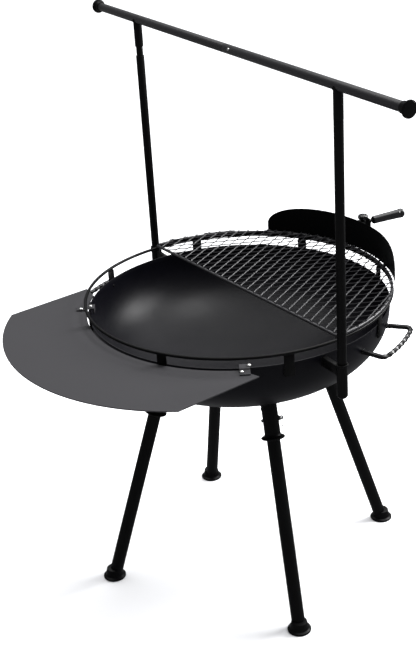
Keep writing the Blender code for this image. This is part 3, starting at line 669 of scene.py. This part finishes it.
# --- Pole sockets and poles ----------------------------------------------------------------
# Each pole drops into a blind socket on a short arm at the side of the bowl.
# The poles are 22 mm tube, closed at the top by the spigots of the crossbar.
POLE_TUBE = 0.0108
POLE_WALL = 0.0016
SPIGOT_TUBE = 0.0088
SOCKET_SLEEVE = 0.0128
ARM_HALF_WIDTH = 0.006
ARM_HEIGHT = 0.024


def middle_of(node):
    """Vertical axis through a CAD node, and its foot and top."""
    low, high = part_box(node)
    return Matrix.Translation(((low.x + high.x) / 2, (low.y + high.y) / 2, 0.0)), low.z, high.z


for name, side in (("left", -1), ("right", 1)):
    stand_at, pole_foot, pole_top = middle_of("pole_" + name)
    _, foot, top = middle_of("pole_socket_" + name)
    bore = POLE_TUBE + 0.0005
    sleeve = [
        (0.0, foot), (0.009, foot), (SOCKET_SLEEVE, foot + 0.005), (SOCKET_SLEEVE, top - 0.006),
        (SOCKET_SLEEVE + 0.0017, top - 0.005), (SOCKET_SLEEVE + 0.0017, top), (bore, top),
        (bore, foot + 0.006), (0.0, foot + 0.006),
    ]
    cup = turned("cup", eased(sleeve, 0.0007), 64, stand_at, satin_coat)
    pole_x = stand_at.translation.x
    near = side * (bowl_wall(top - 0.020) - 0.0006)
    far = pole_x - side * (SOCKET_SLEEVE - 0.001)
    arm_top = top - 0.010
    outline = [(near, -ARM_HALF_WIDTH), (far, -ARM_HALF_WIDTH), (far, ARM_HALF_WIDTH), (near, ARM_HALF_WIDTH)]
    arm = slab("arm", outline, arm_top - ARM_HEIGHT, arm_top, at_bowl, satin_coat, 0.0008)
    seams = []
    for y in (-ARM_HALF_WIDTH, ARM_HALF_WIDTH):
        for x in (near + side * 0.0008, far):
            seam = [at_bowl @ Vector((x, y, z)) for z in (arm_top - ARM_HEIGHT + 0.002, arm_top - 0.002)]
            seams.append(weld("arm_weld", seam, satin_coat, size=0.0021))
    socket = joined("pole_socket_" + name + "_weldment", [cup, arm] + seams, satin_coat)
    mount(socket, "stand", "satin_black_coat", "pole_socket_" + name)

    pipe = [(POLE_TUBE - POLE_WALL, pole_foot), (POLE_TUBE, pole_foot), (POLE_TUBE, pole_top), (POLE_TUBE - POLE_WALL, pole_top)]
    pole = turned("pole_" + name + "_pipe", eased(pipe, 0.0006), 56, stand_at, satin_coat)
    mount(pole, "hook_frame", "satin_black_coat", "pole_" + name)

# --- Crossbar ------------------------------------------------------------------------------
# Two halves of 22 mm tube slide together on an inner sleeve and lock with a sprung button.
# Short stubs under it carry the spigots, and pressed caps with a wide flange close its ends.
BAR_TUBE = 0.011
BAR_BORE = 0.0092
CAP_RADIUS = 0.0185
bar_coat = powder_coat("bar_coat", (0.0100, 0.0098, 0.0108), (0.0175, 0.0170, 0.0188), 0.40, 0.22)

bar_low, bar_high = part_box("bar_half_right")
bar_centre = Vector((0.0, bowl_axis.y, (bar_low.z + bar_high.z) / 2))
bar_end = bar_high.x
along_bar = Matrix.Translation(bar_centre) @ Matrix.Rotation(math.radians(90.0), 4, "Y")
for name, side in (("left", -1), ("right", 1)):
    low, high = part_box("bar_half_" + name)
    pipe = [(BAR_BORE, low.x), (BAR_TUBE, low.x), (BAR_TUBE, high.x), (BAR_BORE, high.x)]
    half_bar = turned("bar_half_" + name + "_pipe", eased(pipe, 0.0006), 56, along_bar, bar_coat)
    mount(half_bar, "crossbar", "dark_grey_coat", "bar_half_" + name)
    face_out = along_bar @ Matrix.Rotation(math.radians(0.0 if side > 0 else 180.0), 4, "X")
    cap_outline = [
        (0.0, bar_end + 0.0003), (BAR_TUBE + 0.0003, bar_end + 0.0003), (BAR_TUBE + 0.0003, bar_end - 0.018),
        (BAR_TUBE + 0.0018, bar_end - 0.018), (BAR_TUBE + 0.0024, bar_end - 0.0050),
        (BAR_TUBE + 0.0034, bar_end - 0.0020), (CAP_RADIUS, bar_end - 0.0006), (CAP_RADIUS, bar_end + 0.0025),
        (CAP_RADIUS - 0.004, bar_end + 0.0033), (0.0, bar_end + 0.0034),
    ]
    cap = turned("end_cap_" + name + "_pressing", eased(cap_outline, 0.0008), 64, face_out, satin_coat)
    mount(cap, "crossbar", "satin_black_coat", "end_cap_" + name)
    stub_at, stub_foot, stub_top = middle_of("bar_stub_" + name)
    stub_outline = [
        (SPIGOT_TUBE + 0.0003, stub_foot), (BAR_TUBE, stub_foot),
        (BAR_TUBE, bar_centre.z - 0.004), (SPIGOT_TUBE + 0.0003, bar_centre.z - 0.004),
    ]
    stub = turned("stub", eased(stub_outline, 0.0006), 56, stub_at, satin_coat)
    saddle_loop = []
    for i in range(48):
        a = math.tau * i / 48
        drop = math.sqrt(max(BAR_TUBE ** 2 - (BAR_TUBE * math.sin(a)) ** 2, 0.0))
        saddle_loop.append(stub_at @ Vector((BAR_TUBE * math.cos(a), BAR_TUBE * math.sin(a), bar_centre.z - drop)))
    bead = weld("stub_weld", saddle_loop, satin_coat, closed=True, size=0.0018)
    stub = joined("bar_stub_" + name + "_weldment", [stub, bead], satin_coat)
    mount(stub, "crossbar", "satin_black_coat", "bar_stub_" + name)
    spigot_at, spigot_foot, spigot_top = middle_of("pole_spigot_" + name)
    pipe = [
        (SPIGOT_TUBE - POLE_WALL, spigot_foot), (SPIGOT_TUBE, spigot_foot),
        (SPIGOT_TUBE, spigot_top), (SPIGOT_TUBE - POLE_WALL, spigot_top),
    ]
    spigot = turned("pole_spigot_" + name + "_pipe", eased(pipe, 0.0006), 48, spigot_at, satin_coat)
    mount(spigot, "crossbar", "satin_black_coat", "pole_spigot_" + name)

coupler_low, coupler_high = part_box("bar_coupler")
pipe = [(0.0069, coupler_low.x), (0.0089, coupler_low.x), (0.0089, coupler_high.x), (0.0069, coupler_high.x)]
coupler = turned("bar_coupler_sleeve", eased(pipe, 0.0004), 40, along_bar, zinc)
mount(coupler, "crossbar", "bright_zinc", "bar_coupler")

button_low, button_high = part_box("snap_button")
BUTTON_RADIUS = 0.0034
press = Vector(next(joint for joint in frame["joints"] if joint["name"] == "snap_button_press")["axis"])
button_at = Vector(((button_low.x + button_high.x) / 2, bar_centre.y, bar_centre.z))
button_place = Matrix.Translation(button_at) @ (-press).to_track_quat("Z", "Y").to_matrix().to_4x4()
button_outline = [
    (0.0, 0.0035), (BUTTON_RADIUS, 0.0035), (BUTTON_RADIUS, BAR_TUBE + 0.0010),
    (BUTTON_RADIUS * 0.75, BAR_TUBE + 0.0023), (0.0, BAR_TUBE + 0.0028),
]
button = turned("snap_button_dome", eased(button_outline, 0.0010, 4), 32, button_place, zinc)
mount(button, "bar_button", "bright_zinc", "snap_button")

# --- Grate ---------------------------------------------------------------------------------
# A half-moon frame of 8 mm rod carries a sheet of raised expanded metal, tack-welded on top.
# Two short pegs under its corners hang inside the rail ring and keep it centred as it turns.
GRATE_TURN_DEG = 5.0
FRAME_RADIUS = 0.385
FRAME_ROD = 0.004
FRAME_CORNER = 0.010
MESH_RADIUS = 0.3875
MESH_PITCH = 0.0279
MESH_LONG = 0.052
MESH_SHIFT = -0.00465
STRAND_WIDTH = 0.0030
STRAND_SHEET = 0.0020
STRAND_LEAN_DEG = -33.0
STRAND_COUNT = 37

wire_coat = powder_coat("wire_coat", (0.010, 0.010, 0.0115), (0.020, 0.0195, 0.0225), 0.36, 0.35)

frame_low, frame_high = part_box("grate_frame")
frame_z = (frame_low.z + frame_high.z) / 2
mesh_low, mesh_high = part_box("grate_mesh")
mesh_z = (mesh_low.z + mesh_high.z) / 2
on_grate = at_bowl @ Matrix.Rotation(math.radians(GRATE_TURN_DEG), 4, "Z")


def half_moon():
    """Centre line of the half-moon frame, its two corners bent round a small radius."""
    corner_x = math.sqrt((FRAME_RADIUS - FRAME_CORNER) ** 2 - (FRAME_ROD + FRAME_CORNER) ** 2)
    corner_y = FRAME_ROD + FRAME_CORNER
    heading = math.atan2(corner_y, corner_x)
    points = [(FRAME_RADIUS * math.cos(a), FRAME_RADIUS * math.sin(a)) for a in (heading + (math.pi - 2 * heading) * i / 120 for i in range(121))]
    for side in (-1, 1):
        for i in range(1, 9):
            share = i / 9 if side < 0 else 1 - i / 9
            angle = heading * (1 - share) + (-math.pi / 2) * share
            x = corner_x + FRAME_CORNER * math.cos(angle)
            y = corner_y + FRAME_CORNER * math.sin(angle)
            points.append((side * x, y))
        if side < 0:
            points += [(-corner_x + 2 * corner_x * i / 40, FRAME_ROD) for i in range(41)]
    return [on_grate @ Vector((x, y, frame_z)) for x, y in points]


def strands_tree():
    """Expanded metal: two crossing families of leaning strands, cut to a half disc, with their bonds."""
    sizes = {
        "Radius": "Float", "Straight Edge": "Float", "Pitch": "Float", "Long Pitch": "Float", "Shift": "Float",
        "Width": "Float", "Sheet": "Float", "Lean": "Float", "Ragged": "Float", "Count": "Int", "Seed": "Int",
    }
    flow, given = start_tree("expanded_metal", {**sizes, "Material": "Material"})
    slant = math.atan2(MESH_LONG, MESH_PITCH)
    families = []
    for side in (-1, 1):
        across = side * math.cos(slant)
        upward = math.sin(slant)
        first = given["Pitch"] * (given["Count"] * -0.5 + 0.5) + given["Shift"]
        start = flow.node("ShaderNodeCombineXYZ", {}, {0: first})
        step = flow.node("ShaderNodeCombineXYZ", {}, {0: given["Pitch"]})
        line = flow.node(
            "GeometryNodeMeshLine", {"mode": "OFFSET"},
            {"Count": given["Count"], "Start Location": start, "Offset": step},
        )
        place = flow.node("GeometryNodeInputPosition", {}, {})
        x = flow.node("ShaderNodeSeparateXYZ", {}, {0: place}, 0)
        inside_circle = given["Radius"] * given["Radius"] - x * x * upward ** 2
        chord = flow.maths("SQRT", flow.maths("MAXIMUM", inside_circle, 0.0))
        low = flow.maths("MAXIMUM", given["Straight Edge"] * (1 / upward), x * -across - chord)
        ragged = flow.node(
            "FunctionNodeRandomValue", {"data_type": "FLOAT"}, {2: 0.0, 3: given["Ragged"], "Seed": given["Seed"]}, 1
        )
        high = x * -across + chord + ragged
        length = high - low
        foot = flow.node("ShaderNodeCombineXYZ", {}, {0: x + low * across, 1: low * upward})
        size = flow.node("ShaderNodeCombineXYZ", {}, {0: length, 1: 1.0, 2: 1.0})
        kept = flow.node(
            "GeometryNodeDeleteGeometry", {"domain": "POINT"},
            {"Geometry": line, "Selection": flow.node("FunctionNodeCompare", {"operation": "LESS_THAN"}, {0: length, 1: 0.012})},
        )
        stored = flow.node(
            "GeometryNodeStoreNamedAttribute", {"data_type": "FLOAT_VECTOR", "domain": "POINT"},
            {"Geometry": kept, "Name": "strand_size", "Value": size},
        )
        moved = flow.node("GeometryNodeSetPosition", {}, {"Geometry": stored, "Position": foot})
        read_size = flow.node("GeometryNodeInputNamedAttribute", {"data_type": "FLOAT_VECTOR"}, {"Name": "strand_size"})
        unit = flow.node("GeometryNodeCurvePrimitiveLine", {"mode": "POINTS"}, {"Start": (0, 0, 0), "End": (1, 0, 0)})
        heading = math.atan2(upward, across)
        placed = flow.node(
            "GeometryNodeInstanceOnPoints", {},
            {"Points": moved, "Instance": unit, "Rotation": (0, 0, heading), "Scale": read_size},
        )
        curves = flow.node("GeometryNodeRealizeInstances", {}, {"Geometry": placed})
        fine = flow.node("GeometryNodeResampleCurve", {"mode": "LENGTH"}, {"Curve": curves, "Length": 0.0062})
        spot = flow.node("GeometryNodeInputPosition", {}, {})
        y = flow.node("ShaderNodeSeparateXYZ", {}, {0: spot}, 1)
        phase = flow.maths("DIVIDE", y, given["Long Pitch"]) * (2.0 * math.tau)
        bow = (1.0 - flow.maths("COSINE", phase)) * (-0.0005 * side)
        bowed = flow.node(
            "GeometryNodeSetPosition", {},
            {"Geometry": fine, "Offset": flow.node("ShaderNodeCombineXYZ", {}, {2: bow})},
        )
        leaning = flow.node("GeometryNodeSetCurveTilt", {}, {"Curve": bowed, "Tilt": given["Lean"]})
        section = flow.node(
            "GeometryNodeCurvePrimitiveQuadrilateral", {"mode": "RECTANGLE"},
            {"Width": given["Width"], "Height": given["Sheet"]},
        )
        families.append(flow.node(
            "GeometryNodeCurveToMesh", {}, {"Curve": leaning, "Profile Curve": section, "Fill Caps": True}
        ))
    bonds = []
    for row_shift in (0.0, 0.5):
        columns = 31
        rows = 9
        grid = flow.node(
            "GeometryNodeMeshGrid", {},
            {"Size X": given["Pitch"] * float(columns - 1), "Size Y": given["Long Pitch"] * float(rows - 1),
             "Vertices X": columns, "Vertices Y": rows},
        )
        nudge_x = given["Shift"] + given["Pitch"] * row_shift
        nudge_y = given["Long Pitch"] * ((rows - 1) / 2 + row_shift)
        nudge = flow.node("ShaderNodeCombineXYZ", {}, {0: nudge_x, 1: nudge_y})
        moved = flow.node("GeometryNodeSetPosition", {}, {"Geometry": grid, "Offset": nudge})
        place = flow.node("GeometryNodeInputPosition", {}, {})
        reach = flow.node("ShaderNodeVectorMath", {"operation": "LENGTH"}, {0: place}, "Value")
        height = flow.node("ShaderNodeSeparateXYZ", {}, {0: place}, 1)
        outside_arc = flow.node("FunctionNodeCompare", {"operation": "GREATER_THAN"}, {0: reach, 1: given["Radius"] - 0.004})
        below = flow.node("FunctionNodeCompare", {"operation": "LESS_THAN"}, {0: height, 1: 0.004})
        either = flow.node("FunctionNodeBooleanMath", {"operation": "OR"}, {0: outside_arc, 1: below})
        kept = flow.node("GeometryNodeDeleteGeometry", {"domain": "POINT"}, {"Geometry": moved, "Selection": either})
        plate = flow.node("GeometryNodeMeshCube", {}, {"Size": (0.0034, 0.0085, 0.0013)})
        bonds.append(flow.node(
            "GeometryNodeInstanceOnPoints", {},
            {"Points": kept, "Instance": plate, "Rotation": (0, math.radians(28), 0)},
        ))
    joiner = flow.node("GeometryNodeJoinGeometry", {}, {})
    for part in families + bonds:
        flow.tree.links.new(part.socket, joiner.socket.node.inputs[0])
    return end_tree(flow, joiner, given["Material"])


moon = rod("moon", half_moon(), FRAME_ROD, wire_coat, closed=True)
parts = [moon]
for side in (-1, 1):
    peg_at = on_grate @ Matrix.Translation((side * (FRAME_RADIUS - 0.0105), 0.0085, 0.0))
    peg_outline = [(0.0, frame_z - 0.0185), (0.0030, frame_z - 0.0185), (0.0030, frame_z), (0.0, frame_z)]
    parts.append(turned("peg", eased(peg_outline, 0.0008), 24, peg_at, wire_coat))
for i in range(9):
    a = math.radians(14.0 + 19.0 * i)
    spot = on_grate @ Vector((FRAME_RADIUS * math.cos(a), FRAME_RADIUS * math.sin(a), frame_z + FRAME_ROD - 0.0006))
    tangent = on_grate.to_3x3() @ Vector((-math.sin(a), math.cos(a), 0.0))
    parts.append(weld("tack", [spot - tangent * 0.005, spot + tangent * 0.005], wire_coat, size=0.0021))
grate_rod = joined("grate_frame_rod", parts, wire_coat)
mount(grate_rod, "grate", "wire_grey_coat", "grate_frame")

strands = strands_tree()
expanded = grown(
    "grate_expanded_metal", path_mesh([(0, 0, 0), (0, 0.01, 0)]), strands, wire_coat,
    Radius=MESH_RADIUS, Straight_Edge=0.0036, Pitch=MESH_PITCH, Long_Pitch=MESH_LONG, Shift=MESH_SHIFT + MESH_PITCH / 2,
    Width=STRAND_WIDTH, Sheet=STRAND_SHEET, Lean=math.radians(STRAND_LEAN_DEG), Ragged=0.0035, Count=STRAND_COUNT, Seed=11,
)
expanded.data.transform(on_grate @ Matrix.Translation((0, 0, mesh_z)))
mount(expanded, "grate", "wire_grey_coat", "grate_mesh")

# --- Heat shield, its straps and bracket -----------------------------------------------------
# A rolled sheet with an arched top stands on the back of the grate, held by two bent straps.
# A bracket behind it carries the grip's stem and a seat for the clamp knob.
SHIELD_RADIUS = 0.3925
SHIELD_SHEET = 0.002
SHIELD_MID_DEG = 97.0
SHIELD_HALF_DEG = 39.5
SHIELD_END_HEIGHT = 0.0248
STRAP_TREAD = 0.003
SHIELD_COLUMNS = 128

shield_low, shield_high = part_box("heat_shield")
shield_rise = shield_high.z - shield_low.z


def shield_height(share):
    """Height of the arched shield, share running from 0 at the middle to 1 at an end."""
    return SHIELD_END_HEIGHT + (shield_rise - SHIELD_END_HEIGHT) * (1.0 - share ** 4.0) ** 0.5


bm = bmesh.new()
columns = []
for i in range(SHIELD_COLUMNS + 1):
    share = math.sin(math.radians(-90.0 + 180.0 * i / SHIELD_COLUMNS))
    angle = SHIELD_MID_DEG + SHIELD_HALF_DEG * share
    top = shield_low.z + shield_height(abs(share))
    corners = ((SHIELD_RADIUS, shield_low.z), (SHIELD_RADIUS + SHIELD_SHEET, shield_low.z), (SHIELD_RADIUS + SHIELD_SHEET, top), (SHIELD_RADIUS, top))
    columns.append([bm.verts.new(polar(radius, angle, z)) for radius, z in corners])
for near, far in zip(columns, columns[1:]):
    for k in range(4):
        bm.faces.new((near[k - 1], near[k], far[k], far[k - 1]))
bm.faces.new(columns[0])
bm.faces.new(list(reversed(columns[-1])))
shield = add_piece("heat_shield_sheet", close_mesh(bm, Matrix.Identity(4)), satin_coat)
soften = shield.modifiers.new("edge", "BEVEL")
soften.width = 0.0005
soften.segments = 2
soften.limit_method = "ANGLE"
soften.angle_limit = math.radians(50.0)
soften.harden_normals = True
mount(shield, "grate", "satin_black_coat", "heat_shield")

rod_outer = FRAME_RADIUS + FRAME_ROD + 0.0003
strap_inner = SHIELD_RADIUS + SHIELD_SHEET + 0.0003
for name, offset in (("left", 23.0), ("right", -23.0)):
    strap_low, strap_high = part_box("shield_strap_" + name)
    side = [
        (rod_outer, strap_low.z), (strap_inner + 0.003, strap_low.z), (strap_inner + 0.003, strap_high.z),
        (strap_inner, strap_high.z), (strap_inner, strap_low.z + STRAP_TREAD), (rod_outer, strap_low.z + STRAP_TREAD),
    ]
    upright = at_bowl @ Matrix.Rotation(math.radians(SHIELD_MID_DEG + offset), 4, "Z") @ Matrix.Rotation(math.radians(90.0), 4, "X")
    strap = slab("strap", eased(side, 0.0010), -0.007, 0.007, upright, satin_coat)
    rivets = [strap]
    for height in (strap_high.z - 0.009, strap_high.z - 0.024):
        rivet_at = at_bowl @ Matrix.Rotation(math.radians(SHIELD_MID_DEG + offset), 4, "Z") @ Matrix.Translation((strap_inner + 0.003, 0, height)) @ Matrix.Rotation(math.radians(90), 4, "Y")
        head = [(0.0, -0.0004), (0.0036, -0.0004), (0.0034, 0.0007), (0.0020, 0.0017), (0.0, 0.0020)]
        rivets.append(turned("rivet", eased(head, 0.0003), 20, rivet_at, satin_coat))
    mount(joined("shield_strap_" + name + "_bent", rivets, satin_coat), "grate", "satin_black_coat", "shield_strap_" + name)

bracket = frame["nodes"]["grip_bracket"]
bracket.data.materials.clear()
bracket.data.materials.append(satin_coat)

# --- Grip and clamp knob -------------------------------------------------------------------
# The grip is a moulded glossy black handle on a plain steel stem, with a collar at its end.
# The clamp knob beside it is the same plastic, with a fluted rim to turn it by.
GRIP_DEG = 88.0
GRIP_Z = 0.873
GRIP_INNER = 0.410
GRIP_REACH = 0.506
STEM_RADIUS = 0.0035


def moulded_plastic(name):
    """Glossy moulded plastic with the faint flow marks of its mould."""
    material, shader, flow = start_material(name, 0.12, shine=0.42)
    place = flow.node("ShaderNodeTexCoord", {}, {}, "Object")
    flowing = noise(flow, place, 55.0, 3.0)
    tint = blend(flow, flowing, (0.003, 0.003, 0.0034), (0.007, 0.007, 0.0078))
    flow.tree.links.new(tint.socket, shader.inputs["Base Color"])
    gloss = 0.07 + 0.09 * flowing
    flow.tree.links.new(gloss.socket, shader.inputs["Roughness"])
    dimple = flow.node(
        "ShaderNodeBump", {}, {"Height": noise(flow, place, 300.0, 1.0), "Strength": 0.04, "Distance": 0.0004}
    )
    flow.tree.links.new(dimple.socket, shader.inputs["Normal"])
    return material


grip_plastic = moulded_plastic("grip_plastic")
grip_place = at_bowl @ Matrix.Rotation(math.radians(GRIP_DEG), 4, "Z") @ Matrix.Translation((0, 0, GRIP_Z)) @ Matrix.Rotation(math.radians(90.0), 4, "Y")
stem_foot = strap_inner + 0.0036
stem_outline = [
    (0.0, stem_foot), (0.0065, stem_foot), (0.0065, stem_foot + 0.003), (STEM_RADIUS, stem_foot + 0.0035),
    (STEM_RADIUS, GRIP_REACH - 0.018), (0.0, GRIP_REACH - 0.018),
]
stem = turned("grip_stem_rod", eased(stem_outline, 0.0006), 40, grip_place, satin_coat)
mount(stem, "grate", "satin_black_coat", "grip_stem")
bore = STEM_RADIUS + 0.0003
grip_outline = [
    (bore, GRIP_INNER), (0.0090, GRIP_INNER), (0.0104, GRIP_INNER + 0.0025), (0.0108, GRIP_INNER + 0.030),
    (0.0114, GRIP_REACH - 0.030), (0.0119, GRIP_REACH - 0.0165), (0.0112, GRIP_REACH - 0.0150),
    (0.0112, GRIP_REACH - 0.0135), (0.0125, GRIP_REACH - 0.0120), (0.0125, GRIP_REACH - 0.0050),
    (0.0108, GRIP_REACH - 0.0012), (0.0060, GRIP_REACH), (0.0, GRIP_REACH), (0.0, GRIP_REACH - 0.0175),
    (bore, GRIP_REACH - 0.0175),
]
grip = turned("grate_grip_moulding", eased(grip_outline, 0.0010), 56, grip_place, grip_plastic)
mount(grip, "grate", "gloss_black_plastic", "grate_grip")

KNOB_FLUTES = 12
KNOB_FLUTE_DEPTH = 0.0009
knob_at, knob_low, knob_high = middle_of("clamp_knob")
knob_radius = (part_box("clamp_knob")[1].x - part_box("clamp_knob")[0].x) / 2
knob_outline = [
    (0.0, knob_low), (0.006, knob_low), (0.006, knob_low + 0.005), (knob_radius - 0.0015, knob_low + 0.006),
    (knob_radius, knob_low + 0.0075), (knob_radius, knob_high - 0.0025), (knob_radius - 0.0025, knob_high - 0.0002),
    (0.0, knob_high),
]
knob = turned("clamp_knob_moulding", eased(knob_outline, 0.0008), KNOB_FLUTES * 8, knob_at, grip_plastic)
for corner in knob.data.vertices:
    flat = (corner.co - knob_at.translation).to_2d()
    if flat.length > knob_radius - 0.003:
        wave = 0.5 - 0.5 * math.cos(KNOB_FLUTES * math.atan2(flat.y, flat.x))
        shrunk = flat * (1.0 - KNOB_FLUTE_DEPTH * wave / flat.length)
        corner.co.x = knob_at.translation.x + shrunk.x
        corner.co.y = knob_at.translation.y + shrunk.y
mount(knob, "knob", "gloss_black_plastic", "clamp_knob")

# --- Side shelf ----------------------------------------------------------------------------
# A flat shelf of 3 mm sheet, cut round the bowl, hangs from the rim on two bent hooks.
# Its flat charcoal coat is lighter and duller than the bowl's, and each hook is bolted down.
SHELF_DEG = -81.5
SHELF_HALF_WIDTH = 0.3515
SHELF_INNER = 0.3848
SHELF_INNER_HALF_DEG = 51.0
SHELF_NEAR = 0.230
SHELF_REACH = 0.6159
SHELF_ARC_RADIUS = 0.4715
SHELF_CORNER = 0.004

shelf_coat = powder_coat("shelf_coat", (0.023, 0.0225, 0.0250), (0.031, 0.0305, 0.0330), 0.62, 0.14)
shelf_low, shelf_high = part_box("side_shelf")


def shelf_outline():
    """The shelf seen from above, with its long direction along +X."""
    arc_centre = SHELF_REACH - SHELF_ARC_RADIUS
    arc_half = math.asin(SHELF_HALF_WIDTH / SHELF_ARC_RADIUS)
    outer = [
        (arc_centre + SHELF_ARC_RADIUS * math.cos(angle), SHELF_ARC_RADIUS * math.sin(angle))
        for angle in (arc_half * i / 60 for i in range(-60, 61))
    ]
    inner_half = math.radians(SHELF_INNER_HALF_DEG)
    inner = [
        (SHELF_INNER * math.cos(angle), SHELF_INNER * math.sin(angle))
        for angle in (inner_half * i / 60 for i in range(60, -61, -1))
    ]
    return outer + [(SHELF_NEAR, SHELF_HALF_WIDTH)] + inner + [(SHELF_NEAR, -SHELF_HALF_WIDTH)]


facing = at_bowl @ Matrix.Rotation(math.radians(SHELF_DEG), 4, "Z")
shelf = slab("side_shelf_plate", shelf_outline(), shelf_low.z, shelf_high.z, facing, shelf_coat, 0.0006)
mount(shelf, "stand", "charcoal_coat", "side_shelf")

for number, name, heading, bolt_heading, top_heading in (
    (2, "left", -120.0, -119.0, -120.0), (1, "right", -29.0, -30.0, -27.4),
):
    hook_low, hook_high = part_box("shelf_hook_" + name)
    base = shelf_high.z + 0.0003
    over = rim_z + 0.0003
    sheet = 0.003
    side = [
        (0.412, base), (0.412, base + sheet), (0.3915, base + sheet), (0.3885, over + sheet),
        (0.3665, over + sheet), (0.3665, hook_low.z), (0.3695, hook_low.z), (0.3695, over),
        (0.3868, over), (0.3898, base),
    ]
    upright = at_bowl @ Matrix.Rotation(math.radians(heading), 4, "Z") @ Matrix.Rotation(math.radians(90.0), 4, "X")
    hook = slab("shelf_hook_" + name + "_bent", eased(side, 0.0012), -0.0125, 0.0125, upright, shelf_coat)
    mount(hook, "stand", "charcoal_coat", "shelf_hook_" + name)
    bolts = []
    for radius, angle, z in ((0.4005, bolt_heading, base + sheet), (0.3765, top_heading, over + sheet)):
        bolt_place = Matrix.Translation(polar(radius, angle, z))
        head = [(0.0, 0.0), (0.0048, 0.0), (0.0048, 0.0016), (0.0042, 0.0030), (0.0024, 0.0040), (0.0, 0.0043)]
        bolts.append(turned("bolt", eased(head, 0.0006), 32, bolt_place, zinc))
    mount(joined("shelf_bolts_" + name, bolts, zinc), "stand", "bright_zinc", "shelf_bolt_%d" % number)
